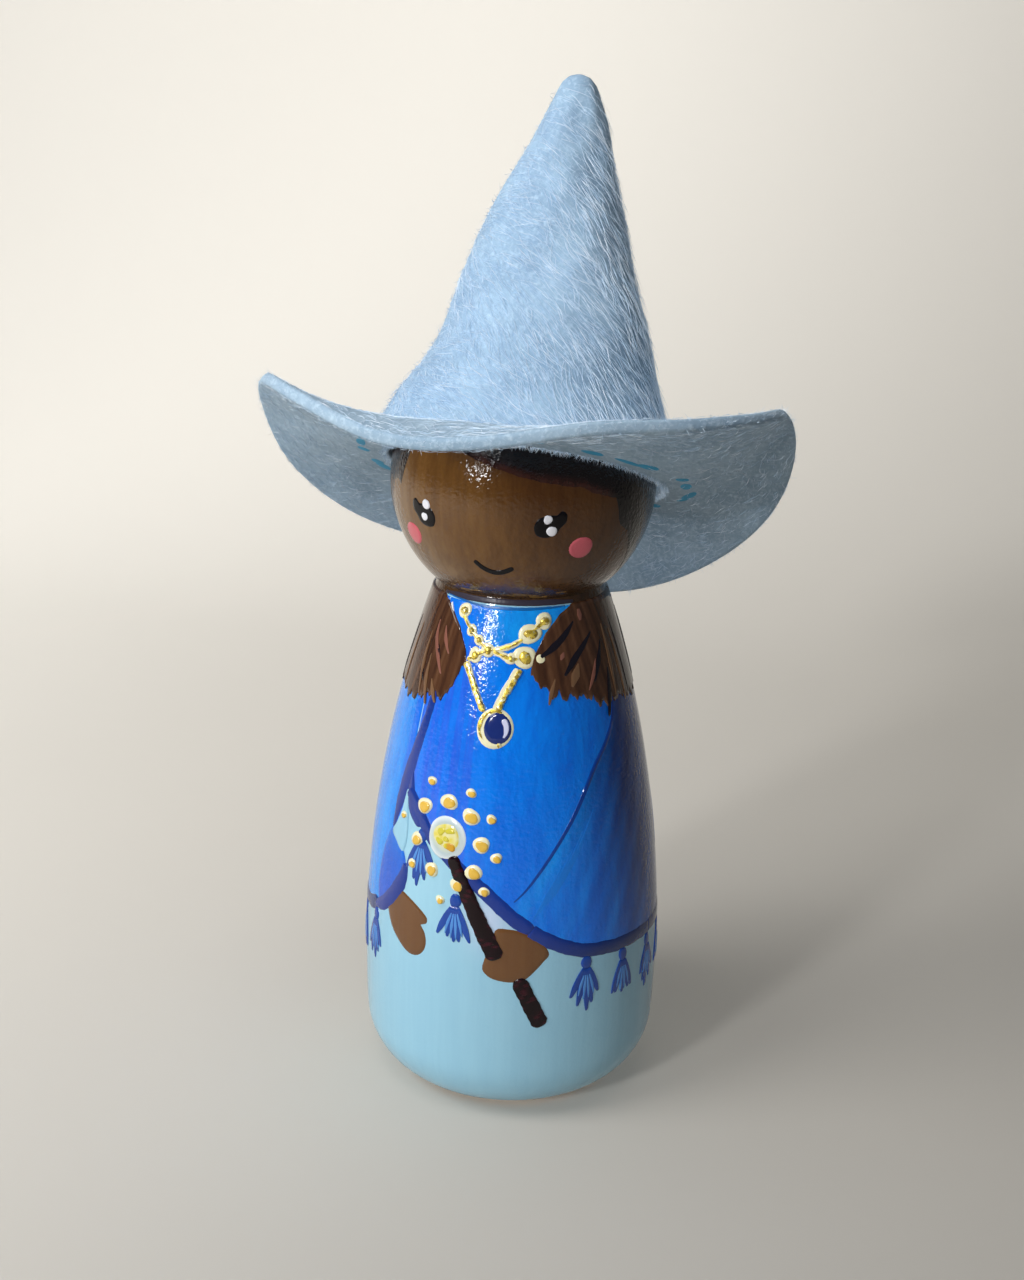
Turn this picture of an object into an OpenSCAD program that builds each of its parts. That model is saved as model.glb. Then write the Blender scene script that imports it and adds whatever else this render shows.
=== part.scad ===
// Wooden peg doll in a felt pointed hat. Millimetres, +Z up, the face looks along -Y.
// The origin is the middle of the flat base. Bearings are degrees round the peg from the
// middle of the face, positive towards +X.

/* [Peg] */
// Widest diameter of the turned peg
body_d = 29.8; // [28:0.1:32]
// Height of the widest place above the base
belly_z = 11.1; // [9:0.1:13]
// Radius of the long curve of the side
side_r = 120; // [112:1:130]
// Rounding between the side and the flat base
base_round = 6.2; // [3:0.1:8]
// Diameter of the round head
head_d = 24.9; // [24:0.1:26]
// Height of the middle of the head
head_z = 61.05; // [60:0.05:62]

/* [Paint] */
// Thickness of one coat of paint
coat_t = 0.08; // [0.06:0.01:0.1]
// Clearance between one coat and the next
coat_gap = 0.04; // [0.04:0.01:0.06]
// How far below the neck's crease the skin colour stops and the collar starts
collar_drop = 0.65; // [0.4:0.05:1.2]
// Height of the lower edge of the dress colour
dress_bottom_z = 0.6; // [0.4:0.1:2]
// Height of the lowest part of the shawl's hem
hem_z = 16.4; // [14:0.1:20]
// Width of the dark border of the shawl
border_w = 1.35; // [0.8:0.05:1.6]
// Length of a tassel
tassel_l = 5.2; // [3:0.1:6]
// Height of the ends of the hair
hair_end_z = 41; // [38:0.1:43]
// Length of the ragged points of the hair
hair_rag = 1.1; // [0.4:0.1:1.6]

/* [Face] */
// Height of the eyes
eye_z = 59.4; // [58:0.1:60.5]
// Bearing of an eye from the middle of the face
eye_bearing = 28.4; // [22:0.1:32]
// Width of an eye
eye_w = 2.6; // [1.5:0.1:3]
// Diameter of a cheek
cheek_d = 2.3; // [1:0.1:3]
// Thickness of the line of the smile
smile_w = 0.36; // [0.2:0.02:0.6]

/* [Jewels and wand] */
// Diameter of a bead of the necklace
bead_d = 1.15; // [0.8:0.05:1.4]
// Diameter of the pendant's stone
stone_d = 2.8; // [2:0.1:3.2]
// Width of the pendant's setting round the stone
setting_w = 0.5; // [0.3:0.05:0.8]
// Width of the wand
wand_w = 1.6; // [1:0.1:2]
// Diameter of the glow at the tip of the wand
glow_d = 3.9; // [2.5:0.1:4.5]
// Diameter of a large spark
spark_d = 1.3; // [0.8:0.05:1.5]

/* [Hat] */
// Thickness of the felt
felt_t = 1.1; // [0.9:0.1:1.4]
// Height of the cone above the brim
hat_h = 38; // [32:0.5:44]
// Radius of the blunt tip
tip_r = 2; // [1.5:0.1:2.5]
// Width of the brim outside the cone
brim_w = 11.5; // [9:0.1:13]
// Height of the brim above the middle of the head, along the hat
brim_z = 1; // [0.8:0.1:2]
// Backward tilt of the hat
hat_tilt = 22; // [16:0.5:24]
// Sideways lean of the hat
hat_roll = 1; // [0:0.5:3]
// Clearance between the hat and the painted head
seat_gap = 0.15; // [0.15:0.01:0.3]
// Thickness of the glue under the cone
glue_t = 0.12; // [0.1:0.01:0.2]
// Width of the glued lap down the back of the cone, at its foot
lap_w = 4; // [2:0.1:6]

/* [Hidden] */
body_r = body_d / 2;
head_r = head_d / 2;
full_turn = 360;
pitch = coat_t + coat_gap;

// The middle of the necklace, the hair and the collar, as a bearing
chest_bearing = 4;
// Bearings from there where the hair starts, and where the side hair meets the back hair
hair_front = 17;
hair_side = 96;
hair_split = 0.4;

// Widths of the brush strokes
strand_w = 0.5;
fold_w = 0.8;
collar_w = 0.45;
cord_w = 0.4;
// The tassels' knots and strands
knot_d = 1.1;
tuft_w = 0.75;
// The mitten hands
hand_l = 6.3;
hand_w = 3.4;
thumb_l = 0.9;
// The crease where the head meets the side of the body, and the collar below it
neck_z = crease_height(side_r - body_r, head_z - belly_z);
collar_z = neck_z - collar_drop;
hair_lift = 0.4;

// Heights of what is painted, from the lowest hem to the collar
function shawl_z(share) = hem_z + (collar_z - hem_z) * share;
left_hand_z = shawl_z(0.093);
right_hand_z = shawl_z(0.05);
// The wand's tip, where it goes behind the fingers and comes out below, and its foot
wand_tip = [-8.5, shawl_z(0.314)];
wand_grip = [9.5, shawl_z(0.06)];
wand_below = [18.8, shawl_z(-0.016)];
wand_foot = [26, shawl_z(-0.16)];
// The glow at the wand's tip, and how many sparks ring it on both sides of the wand
glow_bearing = -13;
glow_z = shawl_z(0.372);
wand_turn = -62.6;
inner_sparks = 8;
outer_sparks = 7;
// The strands' ends and meeting, the links and the pendant
strand_z = shawl_z(0.965);
meet_z = shawl_z(0.887);
link_z = shawl_z(0.866);
pendant_z = shawl_z(0.683);
// How far the cheeks and the smile lie below the eyes, and how far the smile sags
cheek_drop = 2.4;
smile_drop = 4.9;
smile_sag = 0.9;

// Shares of the way from the lowest hem to the collar at which the shawl ends, by bearing
hem_shares = [
    [-37, 0.21], [-36.5, 0.46], [-28, 0.41], [-20, 0.345], [-3, 0.26], [5, 0.22], [14, 0.16],
    [23, 0.11], [32, 0.07], [42, 0.04], [57, 0.025], [90, 0.01], [180, 0], [270, 0.02],
    [302, 0.065], [314, 0.115], [323, 0.21]
];
// Shares of the way from the hair's ends to the collar that the front edge of the hair
// reaches, by bearing from the middle of the chest
hair_front_shares = [[17, 0.4], [19, 0.56], [26, 0.76], [36, 0.92], [46, 1], [180, 1]];
// Shares of the same way at which the hair ends
hair_end_shares = [[17, 0.3], [22, 0.24], [30, 0.17], [45, 0.09], [60, 0.02], [180, -0.06]];

// Lobes round the rim of the brim: count, height as a share of its width, first crest
lobe_shares = [[1, 0.27, -62], [2, 0.33, 2], [3, 0.15, -15], [4, 0.07, 20]];
brim_sink_share = 0.16;
// How late the brim turns up or down on its way out
brim_curl_share = 1.6;

// Underside of the coat with this number, above the wood
function coat_base(n) = coat_gap + n * pitch;

// Height at which the circle of the head meets the long curve of the side
function crease_height(across, up) =
    let (apart = norm([across, up]),
         near = (side_r ^ 2 - head_r ^ 2 + apart ^ 2) / (2 * apart),
         out = sqrt(side_r ^ 2 - near ^ 2))
    belly_z + (near * up - out * across) / apart;

// A point above the side of the body: bearing, height on the wood, distance off the wood
on_body = function(bearing, z, off)
    let (tilt = asin((z - belly_z) / side_r),
         r = body_r - side_r + (side_r + off) * cos(tilt))
    [r * sin(bearing), -r * cos(bearing), belly_z + (side_r + off) * sin(tilt)];

// The same on the head
on_head = function(bearing, z, off)
    let (rise = asin((z - head_z) / head_r),
         r = (head_r + off) * cos(rise))
    [r * sin(bearing), -r * cos(bearing), head_z + (head_r + off) * sin(rise)];

function body_r_at(z) = body_r - side_r + sqrt(side_r ^ 2 - (z - belly_z) ^ 2);
function head_r_at(z) = sqrt(head_r ^ 2 - (z - head_z) ^ 2);

// A length round the peg as a change of bearing, at a radius
function as_bearing(length, r) = length / (PI * r) * full_turn / 2;

function quad(a, b, c, d) = [[a, b, c], [a, c, d]];
function joined(lists) = [for (list = lists) each list];

// A coat between two edges that are functions of the bearing, as one thin closed shell.
// Ends meet round the back if the bearings go all the way round.
module band(bearings, low, high, rows, coat, whole = false) {
    n = len(bearings);
    m = rows + 1;
    last = whole ? n - 1 : n - 2;
    points = [
        for (b = bearings)
            for (off = [coat_base(coat) + coat_t, coat_base(coat)])
                for (j = [0:rows]) on_body(b, low(b) + (high(b) - low(b)) * j / rows, off)
    ];
    function at(i, side, j) = (i % n) * 2 * m + side * m + j;
    faces = joined([
        for (i = [0:last]) joined([
            for (j = [0:rows - 1]) joined([
                quad(at(i, 0, j), at(i, 0, j + 1), at(i + 1, 0, j + 1), at(i + 1, 0, j)),
                quad(at(i, 1, j + 1), at(i, 1, j), at(i + 1, 1, j), at(i + 1, 1, j + 1))
            ]),
            quad(at(i, 1, 0), at(i, 0, 0), at(i + 1, 0, 0), at(i + 1, 1, 0)),
            quad(at(i, 0, rows), at(i, 1, rows), at(i + 1, 1, rows), at(i + 1, 0, rows))
        ]),
        if (!whole) for (j = [0:rows - 1]) joined([
            quad(at(0, 1, j), at(0, 1, j + 1), at(0, 0, j + 1), at(0, 0, j)),
            quad(at(n - 1, 0, j), at(n - 1, 0, j + 1), at(n - 1, 1, j + 1), at(n - 1, 1, j))
        ])
    ]);
    polyhedron(points = points, faces = faces, convexity = 10);
}

// A domed patch of paint with a star-shaped outline of [across, up] points, anticlockwise
module patch(outline, bearing, z, coat, place, r, rise = coat_t) {
    n = len(outline);
    dome_shares = [[0.5, 1], [0.85, 0.75]];
    floor_share = 0.5;
    base = coat_base(coat);
    function spot(p, off) = place(bearing + as_bearing(p.x, r), z + p.y, off);
    points = [
        spot([0, 0], base + rise),
        spot([0, 0], base),
        for (ring = dome_shares) for (p = outline) spot(ring[0] * p, base + ring[1] * rise),
        for (p = outline) spot(p, base),
        for (p = outline) spot(floor_share * p, base)
    ];
    function at(ring, k) = 2 + ring * n + k % n;
    faces = joined([
        for (k = [0:n - 1]) joined([
            [[0, at(0, k + 1), at(0, k)]],
            quad(at(0, k), at(0, k + 1), at(1, k + 1), at(1, k)),
            quad(at(1, k), at(1, k + 1), at(2, k + 1), at(2, k)),
            quad(at(2, k), at(2, k + 1), at(3, k + 1), at(3, k)),
            [[1, at(3, k), at(3, k + 1)]]
        ])
    ]);
    polyhedron(points = points, faces = faces, convexity = 4);
}

// A small round dot of paint
module dot(d, bearing, z, coat, place, r, rise = coat_t, sides = 8) {
    shoulder_share = 0.7;
    base = coat_base(coat);
    function spot(share, k, off) =
        let (turn = full_turn * k / sides, reach = share * d / 2)
        place(bearing + as_bearing(reach * cos(turn), r), z + reach * sin(turn), off);
    points = [
        spot(0, 0, base + rise),
        spot(0, 0, base),
        for (k = [0:sides - 1]) spot(shoulder_share, k, base + shoulder_share * rise),
        for (k = [0:sides - 1]) spot(1, k, base)
    ];
    function at(ring, k) = 2 + ring * sides + k % sides;
    faces = joined([
        for (k = [0:sides - 1]) joined([
            [[0, at(0, k + 1), at(0, k)]],
            quad(at(0, k), at(0, k + 1), at(1, k + 1), at(1, k)),
            [[1, at(1, k), at(1, k + 1)]]
        ])
    ]);
    polyhedron(points = points, faces = faces, convexity = 2);
}

// The same list with this many steps from each entry to the next
function finer(list, steps) = [
    for (i = [0:steps * (len(list) - 1)])
        let (j = min(floor(i / steps), len(list) - 2), t = i / steps - j)
        list[j] * (1 - t) + list[j + 1] * t
];

// A brush stroke along [bearing, height] points, as wide at each as widths says
module stroke(path, widths, coat, place, r, rise = coat_t) {
    n = len(path);
    flat_share = 0.6;
    base = coat_base(coat);
    flat = [for (p = path) [p[0] * PI * r * 2 / full_turn, p[1]]];
    function heading(i) =
        let (d = flat[min(i + 1, n - 1)] - flat[max(i - 1, 0)])
        d / norm(d);
    function spot(i, share, off) =
        let (d = heading(i), half = share * widths[i] / 2,
             p = flat[i] + half * [d.y, -d.x])
        place(as_bearing(p.x, r), p.y, off);
    points = [
        for (i = [0:n - 1]) each [
            spot(i, -1, base),
            spot(i, -flat_share, base + rise),
            spot(i, flat_share, base + rise),
            spot(i, 1, base)
        ]
    ];
    end = 4 * (n - 1);
    faces = joined([
        for (i = [0:n - 2]) joined([
            for (k = [0:3])
                quad(4 * i + k, 4 * i + 4 + k, 4 * i + 4 + (k + 1) % 4, 4 * i + (k + 1) % 4)
        ]),
        quad(0, 1, 2, 3),
        quad(end + 3, end + 2, end + 1, end)
    ]);
    polyhedron(points = points, faces = faces, convexity = 6);
}

// Half outline of the peg with this much paint on it
module peg_outline(off) {
    belly_x = body_r - side_r;
    base_x = belly_x + sqrt((side_r - base_round) ^ 2 - (base_round - belly_z) ^ 2);
    square_h = 2 * belly_z;
    intersection() {
        union() {
            intersection() {
                translate([belly_x, belly_z]) circle(r = side_r + off, $fn = 1440);
                translate([0, base_round]) square([body_d, head_z - base_round]);
            }
            intersection() {
                translate([base_x, base_round]) circle(r = base_round + off, $fn = 180);
                translate([base_x, -off]) square([body_d, base_round + off]);
            }
            translate([0, -off]) square([base_x, square_h]);
            translate([0, head_z]) circle(r = head_r + off, $fn = 240);
        }
        translate([0, -off]) square([body_d, head_z + head_d]);
    }
}

// Half outline of one coat of paint, between two heights
module coat_outline(coat, low, high) {
    intersection() {
        difference() {
            peg_outline(coat_base(coat) + coat_t);
            peg_outline(coat_base(coat));
        }
        translate([0, low]) square([body_d, high - low]);
    }
}

module peg() {
    color("burlywood") rotate_extrude($fn = 144) peg_outline(0);
}

module dress_coat() {
    color("lightblue")
        rotate_extrude($fn = 144) coat_outline(0, dress_bottom_z, collar_z - coat_gap);
}

module skin_coat() {
    color([0.44, 0.29, 0.17])
        rotate_extrude($fn = 144) coat_outline(0, collar_z, head_z + head_d);
}

// Hair painted on the head: all but the face, which is cut out as seen from the front
module hair_cap() {
    hair_low_z = neck_z + hair_lift;
    face_shares = [
        [-0.92, -1], [0.93, -1], [0.9, -0.42], [0.89, -0.23], [0.84, -0.2], [0.83, 0.02],
        [0.68, 0.07], [0.52, 0.12], [0.36, 0.16], [0.2, 0.2], [0.05, 0.24], [-0.22, 0.33],
        [-0.3, 0.42], [-0.55, 0.4], [-0.69, 0.19], [-0.74, 0.04], [-0.84, 0.03], [-0.92, -0.05]
    ];
    color([0.16, 0.09, 0.07]) difference() {
        rotate_extrude($fn = 144) intersection() {
            difference() {
                translate([0, head_z]) circle(r = head_r + coat_base(1) + coat_t, $fn = 240);
                translate([0, head_z]) circle(r = head_r + coat_base(1), $fn = 240);
            }
            translate([0, hair_low_z]) square([body_d, head_d]);
        }
        translate([0, 0, head_z]) rotate([90, 0, 0])
            linear_extrude(height = head_d) polygon(head_r * face_shares);
    }
}

function mod_turn(b) = b > 180 ? b - full_turn : b;
function hair_z(share) = hair_end_z + (collar_z - hair_end_z) * share;
// The ragged ends: three long and short points in turn
function rag(b) = hair_rag * (0.5 * abs(sin(b * 16)) + 0.5 * abs(sin(b * 9 + 20)));
function from_chest(b) = abs(mod_turn(b - chest_bearing));
function hair_top(b) = hair_z(lookup(from_chest(b), hair_front_shares)) - coat_gap;
function hair_bottom(b) = hair_z(lookup(from_chest(b), hair_end_shares)) - rag(b);

module hair_part(from, to) {
    // Degrees between the columns of the shell
    step = 2.8;
    count = ceil((to - from) / step);
    band(
        [for (k = [0:count]) from + (to - from) * k / count],
        function(b) hair_bottom(b), function(b) hair_top(b), 3, 3
    );
}

module hair_left() {
    color([0.33, 0.19, 0.13]) hair_part(chest_bearing - hair_side, chest_bearing - hair_front);
}

module hair_right() {
    color([0.33, 0.19, 0.13]) hair_part(chest_bearing + hair_front, chest_bearing + hair_side);
}

module hair_back() {
    color([0.28, 0.16, 0.11]) hair_part(
        chest_bearing + hair_side + hair_split,
        chest_bearing + full_turn - hair_side - hair_split
    );
}

// Lighter and darker strands over the hair, fanned out from the neck
module hair_strands() {
    per_side = 6;
    first = 30;
    step = 11;
    top_share = 0.86;
    end_share = 0.16;
    spread = 0.72;
    color([0.48, 0.3, 0.24])
        for (side = [-1, 1], k = [0:per_side - 1]) {
            out = first + k * step;
            path = [
                for (t = [0:0.25:1]) [
                    chest_bearing + side * (out * (spread * (1 - t) + t) + 12 * (1 - t)),
                    hair_z(top_share + (end_share - top_share) * t) - (k % 2) * hair_rag
                ]
            ];
            stroke(path, strand_w * [0.3, 0.8, 1, 0.8, 0.2], 4, on_body, body_r_at(hair_end_z));
        }
}

function hem_height(b) = shawl_z(lookup(b < hem_shares[0][0] ? b + full_turn : b, hem_shares));

module shawl() {
    flap = hem_shares[0][0];
    first = hem_shares[1][0];
    step = 4.5;
    count = ceil((full_turn + flap - first) / step);
    bearings = [for (k = [0:count]) first + (full_turn + flap - first) * k / count];
    color([0.05, 0.38, 0.82])
        band(bearings, function(b) hem_height(b), function(b) collar_z - 2 * coat_gap, 9, 1, true);
}

// The dark border: along the meeting edges of the two flaps, and round the hem
module shawl_border() {
    half = border_w / 2;
    inset = half + coat_gap;
    apex = hem_shares[1];
    hair_edge = shawl_z(0.78);
    flap_end = shawl_z(0.36);
    flap_turn = 5;
    apex_turn = 2;
    turn_r = body_r_at(hem_z);
    first = apex[0] + apex_turn;
    last = full_turn + hem_shares[0][0] + apex_turn / 2;
    step = 5.5;
    count = ceil((last - first) / step);
    hem = [
        for (k = [0:count])
            let (b = first + (last - first) * k / count) [b, hem_height(b) + inset]
    ];
    meeting = [
        [apex[0] + 1.5 * apex_turn, hair_edge],
        [apex[0] + apex_turn / 2, (hair_edge + shawl_z(apex[1])) / 2 + border_w],
        [apex[0] - apex_turn, shawl_z(apex[1]) + border_w],
        [apex[0] - flap_turn, flap_end]
    ];
    color([0.07, 0.17, 0.5]) {
        stroke(hem, [for (p = hem) border_w], 2, on_body, turn_r);
        stroke(
            finer(meeting, 2), border_w * finer([0.8, 1, 1, 0.5], 2), 2, on_body, turn_r
        );
    }
}

// Fold lines where the shawl hangs from the two arms
module shawl_folds() {
    // How much further back the fold of the other arm lies
    back_bearing = 30;
    arm_shares = [[66, 0.62], [52, 0.52], [38, 0.43], [26, 0.33], [17, 0.235]];
    steps = 3;
    widths = fold_w * finer([0.3, 0.8, 1, 0.8, 0.3], steps);
    right_arm = [for (p = arm_shares) [p[0], shawl_z(p[1])]];
    left_arm = [for (p = arm_shares) [-p[0] - back_bearing, shawl_z(p[1])]];
    color([0.06, 0.24, 0.62])
        for (arm = [right_arm, left_arm])
            stroke(finer(arm, steps), widths, 2, on_body, body_r_at(hem_z));
}

// The line of paint along the top of the collar
module collar_edge() {
    reach_bearing = 38;
    path = [for (k = [-6:6]) [chest_bearing + reach_bearing * k / 6, collar_z - collar_w]];
    color([0.02, 0.45, 0.62])
        stroke(path, [for (p = path) collar_w], 2, on_body, body_r_at(collar_z));
}

// One tassel: a knot and four strands that spread out below it
module tassel(bearing, z) {
    spread_shares = [-0.3, -0.1, 0.1, 0.3];
    neck_share = 0.25;
    r = body_r_at(z);
    top_z = z - knot_d - coat_gap;
    dot(knot_d, bearing, z - knot_d / 2, 1, on_body, r);
    for (s = spread_shares) {
        length = (tassel_l - knot_d) * (1 - s * s);
        path = [
            for (t = [0, 0.55, 1])
                [
                    bearing + as_bearing(s * tassel_l * (neck_share + (1 - neck_share) * t), r),
                    top_z - length * t
                ]
        ];
        stroke(path, tuft_w * [0.25, 1, 0.3], 1, on_body, r);
    }
}

module tassels() {
    // Two hang where the shawl opens, and a row goes on past the hand and round the back
    open_bearings = [-23, -5];
    first_bearing = 44;
    last_bearing = 310;
    count = 16;
    row = [
        for (k = [0:count - 1])
            first_bearing + (last_bearing - first_bearing) * k / (count - 1)
    ];
    color([0.1, 0.3, 0.68])
        for (b = joined([open_bearings, row])) tassel(b, hem_height(b) - coat_gap);
}

// A mitten seen from the back of the hand, as [across, up] points round the palm
function mitten(length, width, thumb, turn, sides = 20) = [
    for (k = [0:sides - 1])
        let (a = full_turn * k / sides,
             bump = thumb * exp(-((a - 55) / 17) ^ 2),
             x = width / 2 * cos(a) + bump * cos(a),
             y = length / 2 * sin(a) + bump * sin(a))
        [x * cos(turn) - y * sin(turn), x * sin(turn) + y * cos(turn)]
];

module hand_left() {
    hand_bearing = -30.5;
    hand_turn = 22;
    color([0.45, 0.28, 0.16])
        patch(
            mitten(hand_l, hand_w, thumb_l, hand_turn), hand_bearing, left_hand_z, 1, on_body,
            body_r_at(left_hand_z)
        );
}

module hand_right() {
    grip_share = 1.2;
    hand_bearing = 16;
    hand_turn = -72;
    color([0.45, 0.28, 0.16])
        patch(
            mitten(hand_l, grip_share * hand_w, thumb_l / 2, hand_turn), hand_bearing, right_hand_z,
            1, on_body, body_r_at(right_hand_z)
        );
}

module wand() {
    r = body_r_at(wand_grip[1]);
    color([0.16, 0.05, 0.05]) {
        stroke(
            [for (t = [0:0.25:1]) wand_tip + (wand_grip - wand_tip) * t],
            wand_w * [0.75, 0.9, 1, 1.1, 1], 3, on_body, r
        );
        stroke(
            [for (t = [0:1 / 3:1]) wand_below + (wand_foot - wand_below) * t],
            wand_w * [1, 1, 1, 0.9], 1, on_body, r
        );
    }
}

function ring(d, sides) = [
    for (k = [0:sides - 1]) d / 2 * [cos(full_turn * k / sides), sin(full_turn * k / sides)]
];

module wand_glow() {
    color([0.86, 0.88, 0.8])
        patch(ring(glow_d, 20), glow_bearing, glow_z, 3, on_body, body_r_at(glow_z));
}

module glow_core() {
    core_share = 0.62;
    color([0.93, 0.8, 0.3])
        patch(
            ring(glow_d * core_share, 14), glow_bearing, glow_z, 4, on_body, body_r_at(glow_z)
        );
}

// Two rings of sparks round the glow: [bearing, height, diameter] of each
function sparks_at() = joined([
    [for (k = [0:inner_sparks - 1])
        spark_at(round_wand(k, inner_sparks), glow_d * (0.92 + 0.1 * (k % 2)), spark_d)],
    [for (k = [0:outer_sparks - 1])
        spark_at(round_wand(k, outer_sparks), glow_d * (1.38 + 0.14 * (k % 2)), spark_d * 0.66)]
]);
function round_wand(k, count) = wand_turn + full_turn * (k + 0.5) / count;
function spark_at(turn, reach, d) =
    [glow_bearing + as_bearing(reach * cos(turn), body_r_at(glow_z)), glow_z + reach * sin(turn), d];

module spark_rims() {
    color([0.93, 0.9, 0.75])
        for (s = sparks_at()) dot(s[2], s[0], s[1], 3, on_body, body_r_at(glow_z));
}

module sparks() {
    heart_share = 0.68;
    color([0.87, 0.65, 0.2])
        for (s = sparks_at())
            dot(s[2] * heart_share, s[0], s[1], 4, on_body, body_r_at(glow_z));
}

// The necklace: two beaded strands meet below the collar, and two cords carry the pendant
link_bearing = 12;
strand_top = [27, strand_z];
strand_meet = [2, meet_z];
function along(from, to, count) = [for (k = [0:count - 1]) from + (to - from) * k / (count - 1)];
function mirrored(list) = [for (p = list) [-p[0], p[1]]];
strand_beads = along(strand_top, strand_meet, 5);
link_beads = [[link_bearing, link_z], [link_bearing / 2, (link_z + strand_meet[1]) / 2]];
half_beads = joined([strand_beads, link_beads]);
all_beads = joined([half_beads, mirrored(half_beads)]);
cord_top = [link_bearing, link_z - bead_d];
cord_end = [1.5, pendant_z + stone_d / 2 + setting_w];
half_cord = along(cord_top, cord_end, 3);
function on_chest(list, side) = [for (p = list) [chest_bearing + side * p[0], p[1]]];

module necklace_rim() {
    rim_share = 1.35;
    r = body_r_at(link_z);
    color([0.93, 0.9, 0.75]) {
        for (p = on_chest(all_beads, 1)) dot(bead_d * rim_share, p[0], p[1], 2, on_body, r);
        for (side = [-1, 1]) stroke(on_chest(half_cord, side), 2 * cord_w * [1, 1, 1], 2, on_body, r);
    }
}

module necklace_beads() {
    heart_share = 0.85;
    rise = 2 * coat_t;
    r = body_r_at(link_z);
    color([0.85, 0.68, 0.2]) {
        for (p = on_chest(all_beads, 1)) dot(bead_d * heart_share, p[0], p[1], 3, on_body, r, rise);
        for (side = [-1, 1]) stroke(on_chest(half_cord, side), cord_w * [1, 1, 1], 3, on_body, r, rise);
    }
}

module pendant_setting() {
    color([0.88, 0.76, 0.35])
        patch(
            ring(stone_d + 2 * setting_w, 20), chest_bearing, pendant_z, 2, on_body, body_r_at(pendant_z)
        );
}

module pendant_stone() {
    color([0.06, 0.1, 0.4])
        patch(ring(stone_d, 18), chest_bearing, pendant_z, 3, on_body, body_r_at(pendant_z));
}

module pendant_glint() {
    r = body_r_at(pendant_z);
    reach = stone_d * 0.3;
    width = stone_d / 7;
    path = [
        for (a = [-60:30:60])
            [chest_bearing + as_bearing(reach * cos(a), r), pendant_z + reach * sin(a)]
    ];
    color("white") stroke(path, width * [0.4, 0.8, 1, 0.8, 0.4], 4, on_body, r);
}

// An eye: a round with a short lash lifting from its outer corner
function eye_outline(side, sides = 20) = [
    for (k = [0:sides - 1])
        let (a = full_turn * k / sides,
             lash_turn = side > 0 ? 35 : 145,
             lash = 0.32 * exp(-((a - lash_turn) / 26) ^ 2),
             reach = eye_w / 2 * (1 + lash))
        [reach * cos(a), 0.82 * reach * sin(a)]
];

module eyes() {
    color([0.06, 0.05, 0.05])
        for (side = [-1, 1])
            patch(eye_outline(side), side * eye_bearing, eye_z, 1, on_head, head_r_at(eye_z));
}

module eye_glints() {
    glint_share = 0.27;
    upper = [-0.03, 0.25];
    lower = [0.12, -0.22];
    color("white")
        for (side = [-1, 1], p = [upper, lower])
            dot(
                eye_w * glint_share, side * eye_bearing + as_bearing(p.x * eye_w, head_r),
                eye_z + p.y * eye_w, 2, on_head, head_r_at(eye_z)
            );
}

module cheeks() {
    out_bearing = 12.7;
    cheek_bearing = eye_bearing + out_bearing;
    cheek_z = eye_z - cheek_drop;
    color([0.85, 0.38, 0.42])
        for (side = [-1, 1])
            patch(ring(cheek_d, 14), side * cheek_bearing, cheek_z, 1, on_head, head_r_at(cheek_z));
}

module smile() {
    middle_bearing = 2;
    reach_bearing = 9;
    smile_z = eye_z - smile_drop;
    path = [
        for (k = [-4:4])
            [middle_bearing + reach_bearing * k / 4, smile_z + smile_sag * (k / 4) ^ 2]
    ];
    color([0.06, 0.05, 0.05])
        stroke(path, smile_w * [0.7, 1, 1, 1, 1, 1, 1, 1, 0.7], 1, on_head, head_r_at(smile_z));
}

// The hat: its inner wall touches a ball a clearance larger than the painted head
seat_r = head_r + coat_base(1) + coat_t + seat_gap;
brim_top = brim_z + felt_t / 2;
foot_z = brim_top + glue_t;
tip_z = brim_top + hat_h - tip_r;
cone_angle = asin((seat_r + felt_t - tip_r) / tip_z);
function wall_r(z, off) = (seat_r + off - z * sin(cone_angle)) / cos(cone_angle);
hole_r = wall_r(brim_top, 0);
foot_r = wall_r(brim_z, felt_t);

module on_hat() {
    translate([0, 0, head_z]) rotate([-hat_tilt, 0, 0]) rotate([0, hat_roll, 0]) children();
}

// Half outline of a solid cone whose wall lies this far outside the seat
module cone_outline(off) {
    r = tip_r - felt_t + off;
    shoulder_z = tip_z + r * sin(cone_angle);
    intersection() {
        union() {
            polygon([[0, 0], [wall_r(0, off), 0], [r * cos(cone_angle), shoulder_z], [0, shoulder_z]]);
            translate([0, tip_z]) circle(r = r, $fn = 96);
        }
        translate([0, foot_z]) square([2 * foot_r, hat_h + felt_t]);
    }
}

module hat_cone() {
    lap_turn = as_bearing(lap_w, foot_r);
    color([0.62, 0.78, 0.88]) on_hat() {
        rotate_extrude($fn = 144) difference() {
            cone_outline(felt_t);
            cone_outline(0);
        }
        rotate([0, 0, 90 - lap_turn / 2]) rotate_extrude(angle = lap_turn, $fn = 144) difference() {
            cone_outline(1.7 * felt_t);
            cone_outline(felt_t);
            translate([0, tip_z - tip_r]) square(hat_h);
        }
    }
}

module hat_glue() {
    color([0.85, 0.86, 0.84]) on_hat() translate([0, 0, brim_top])
        rotate_extrude($fn = 144)
            translate([hole_r, 0]) square([foot_r - hole_r - glue_t, glue_t]);
}

// Height of the rim above the flat part of the brim
function brim_rise(turn) = brim_w * (
    [for (l = lobe_shares) l[1] * cos(l[0] * (turn - l[2]))] * [1, 1, 1, 1] - brim_sink_share
);
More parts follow.
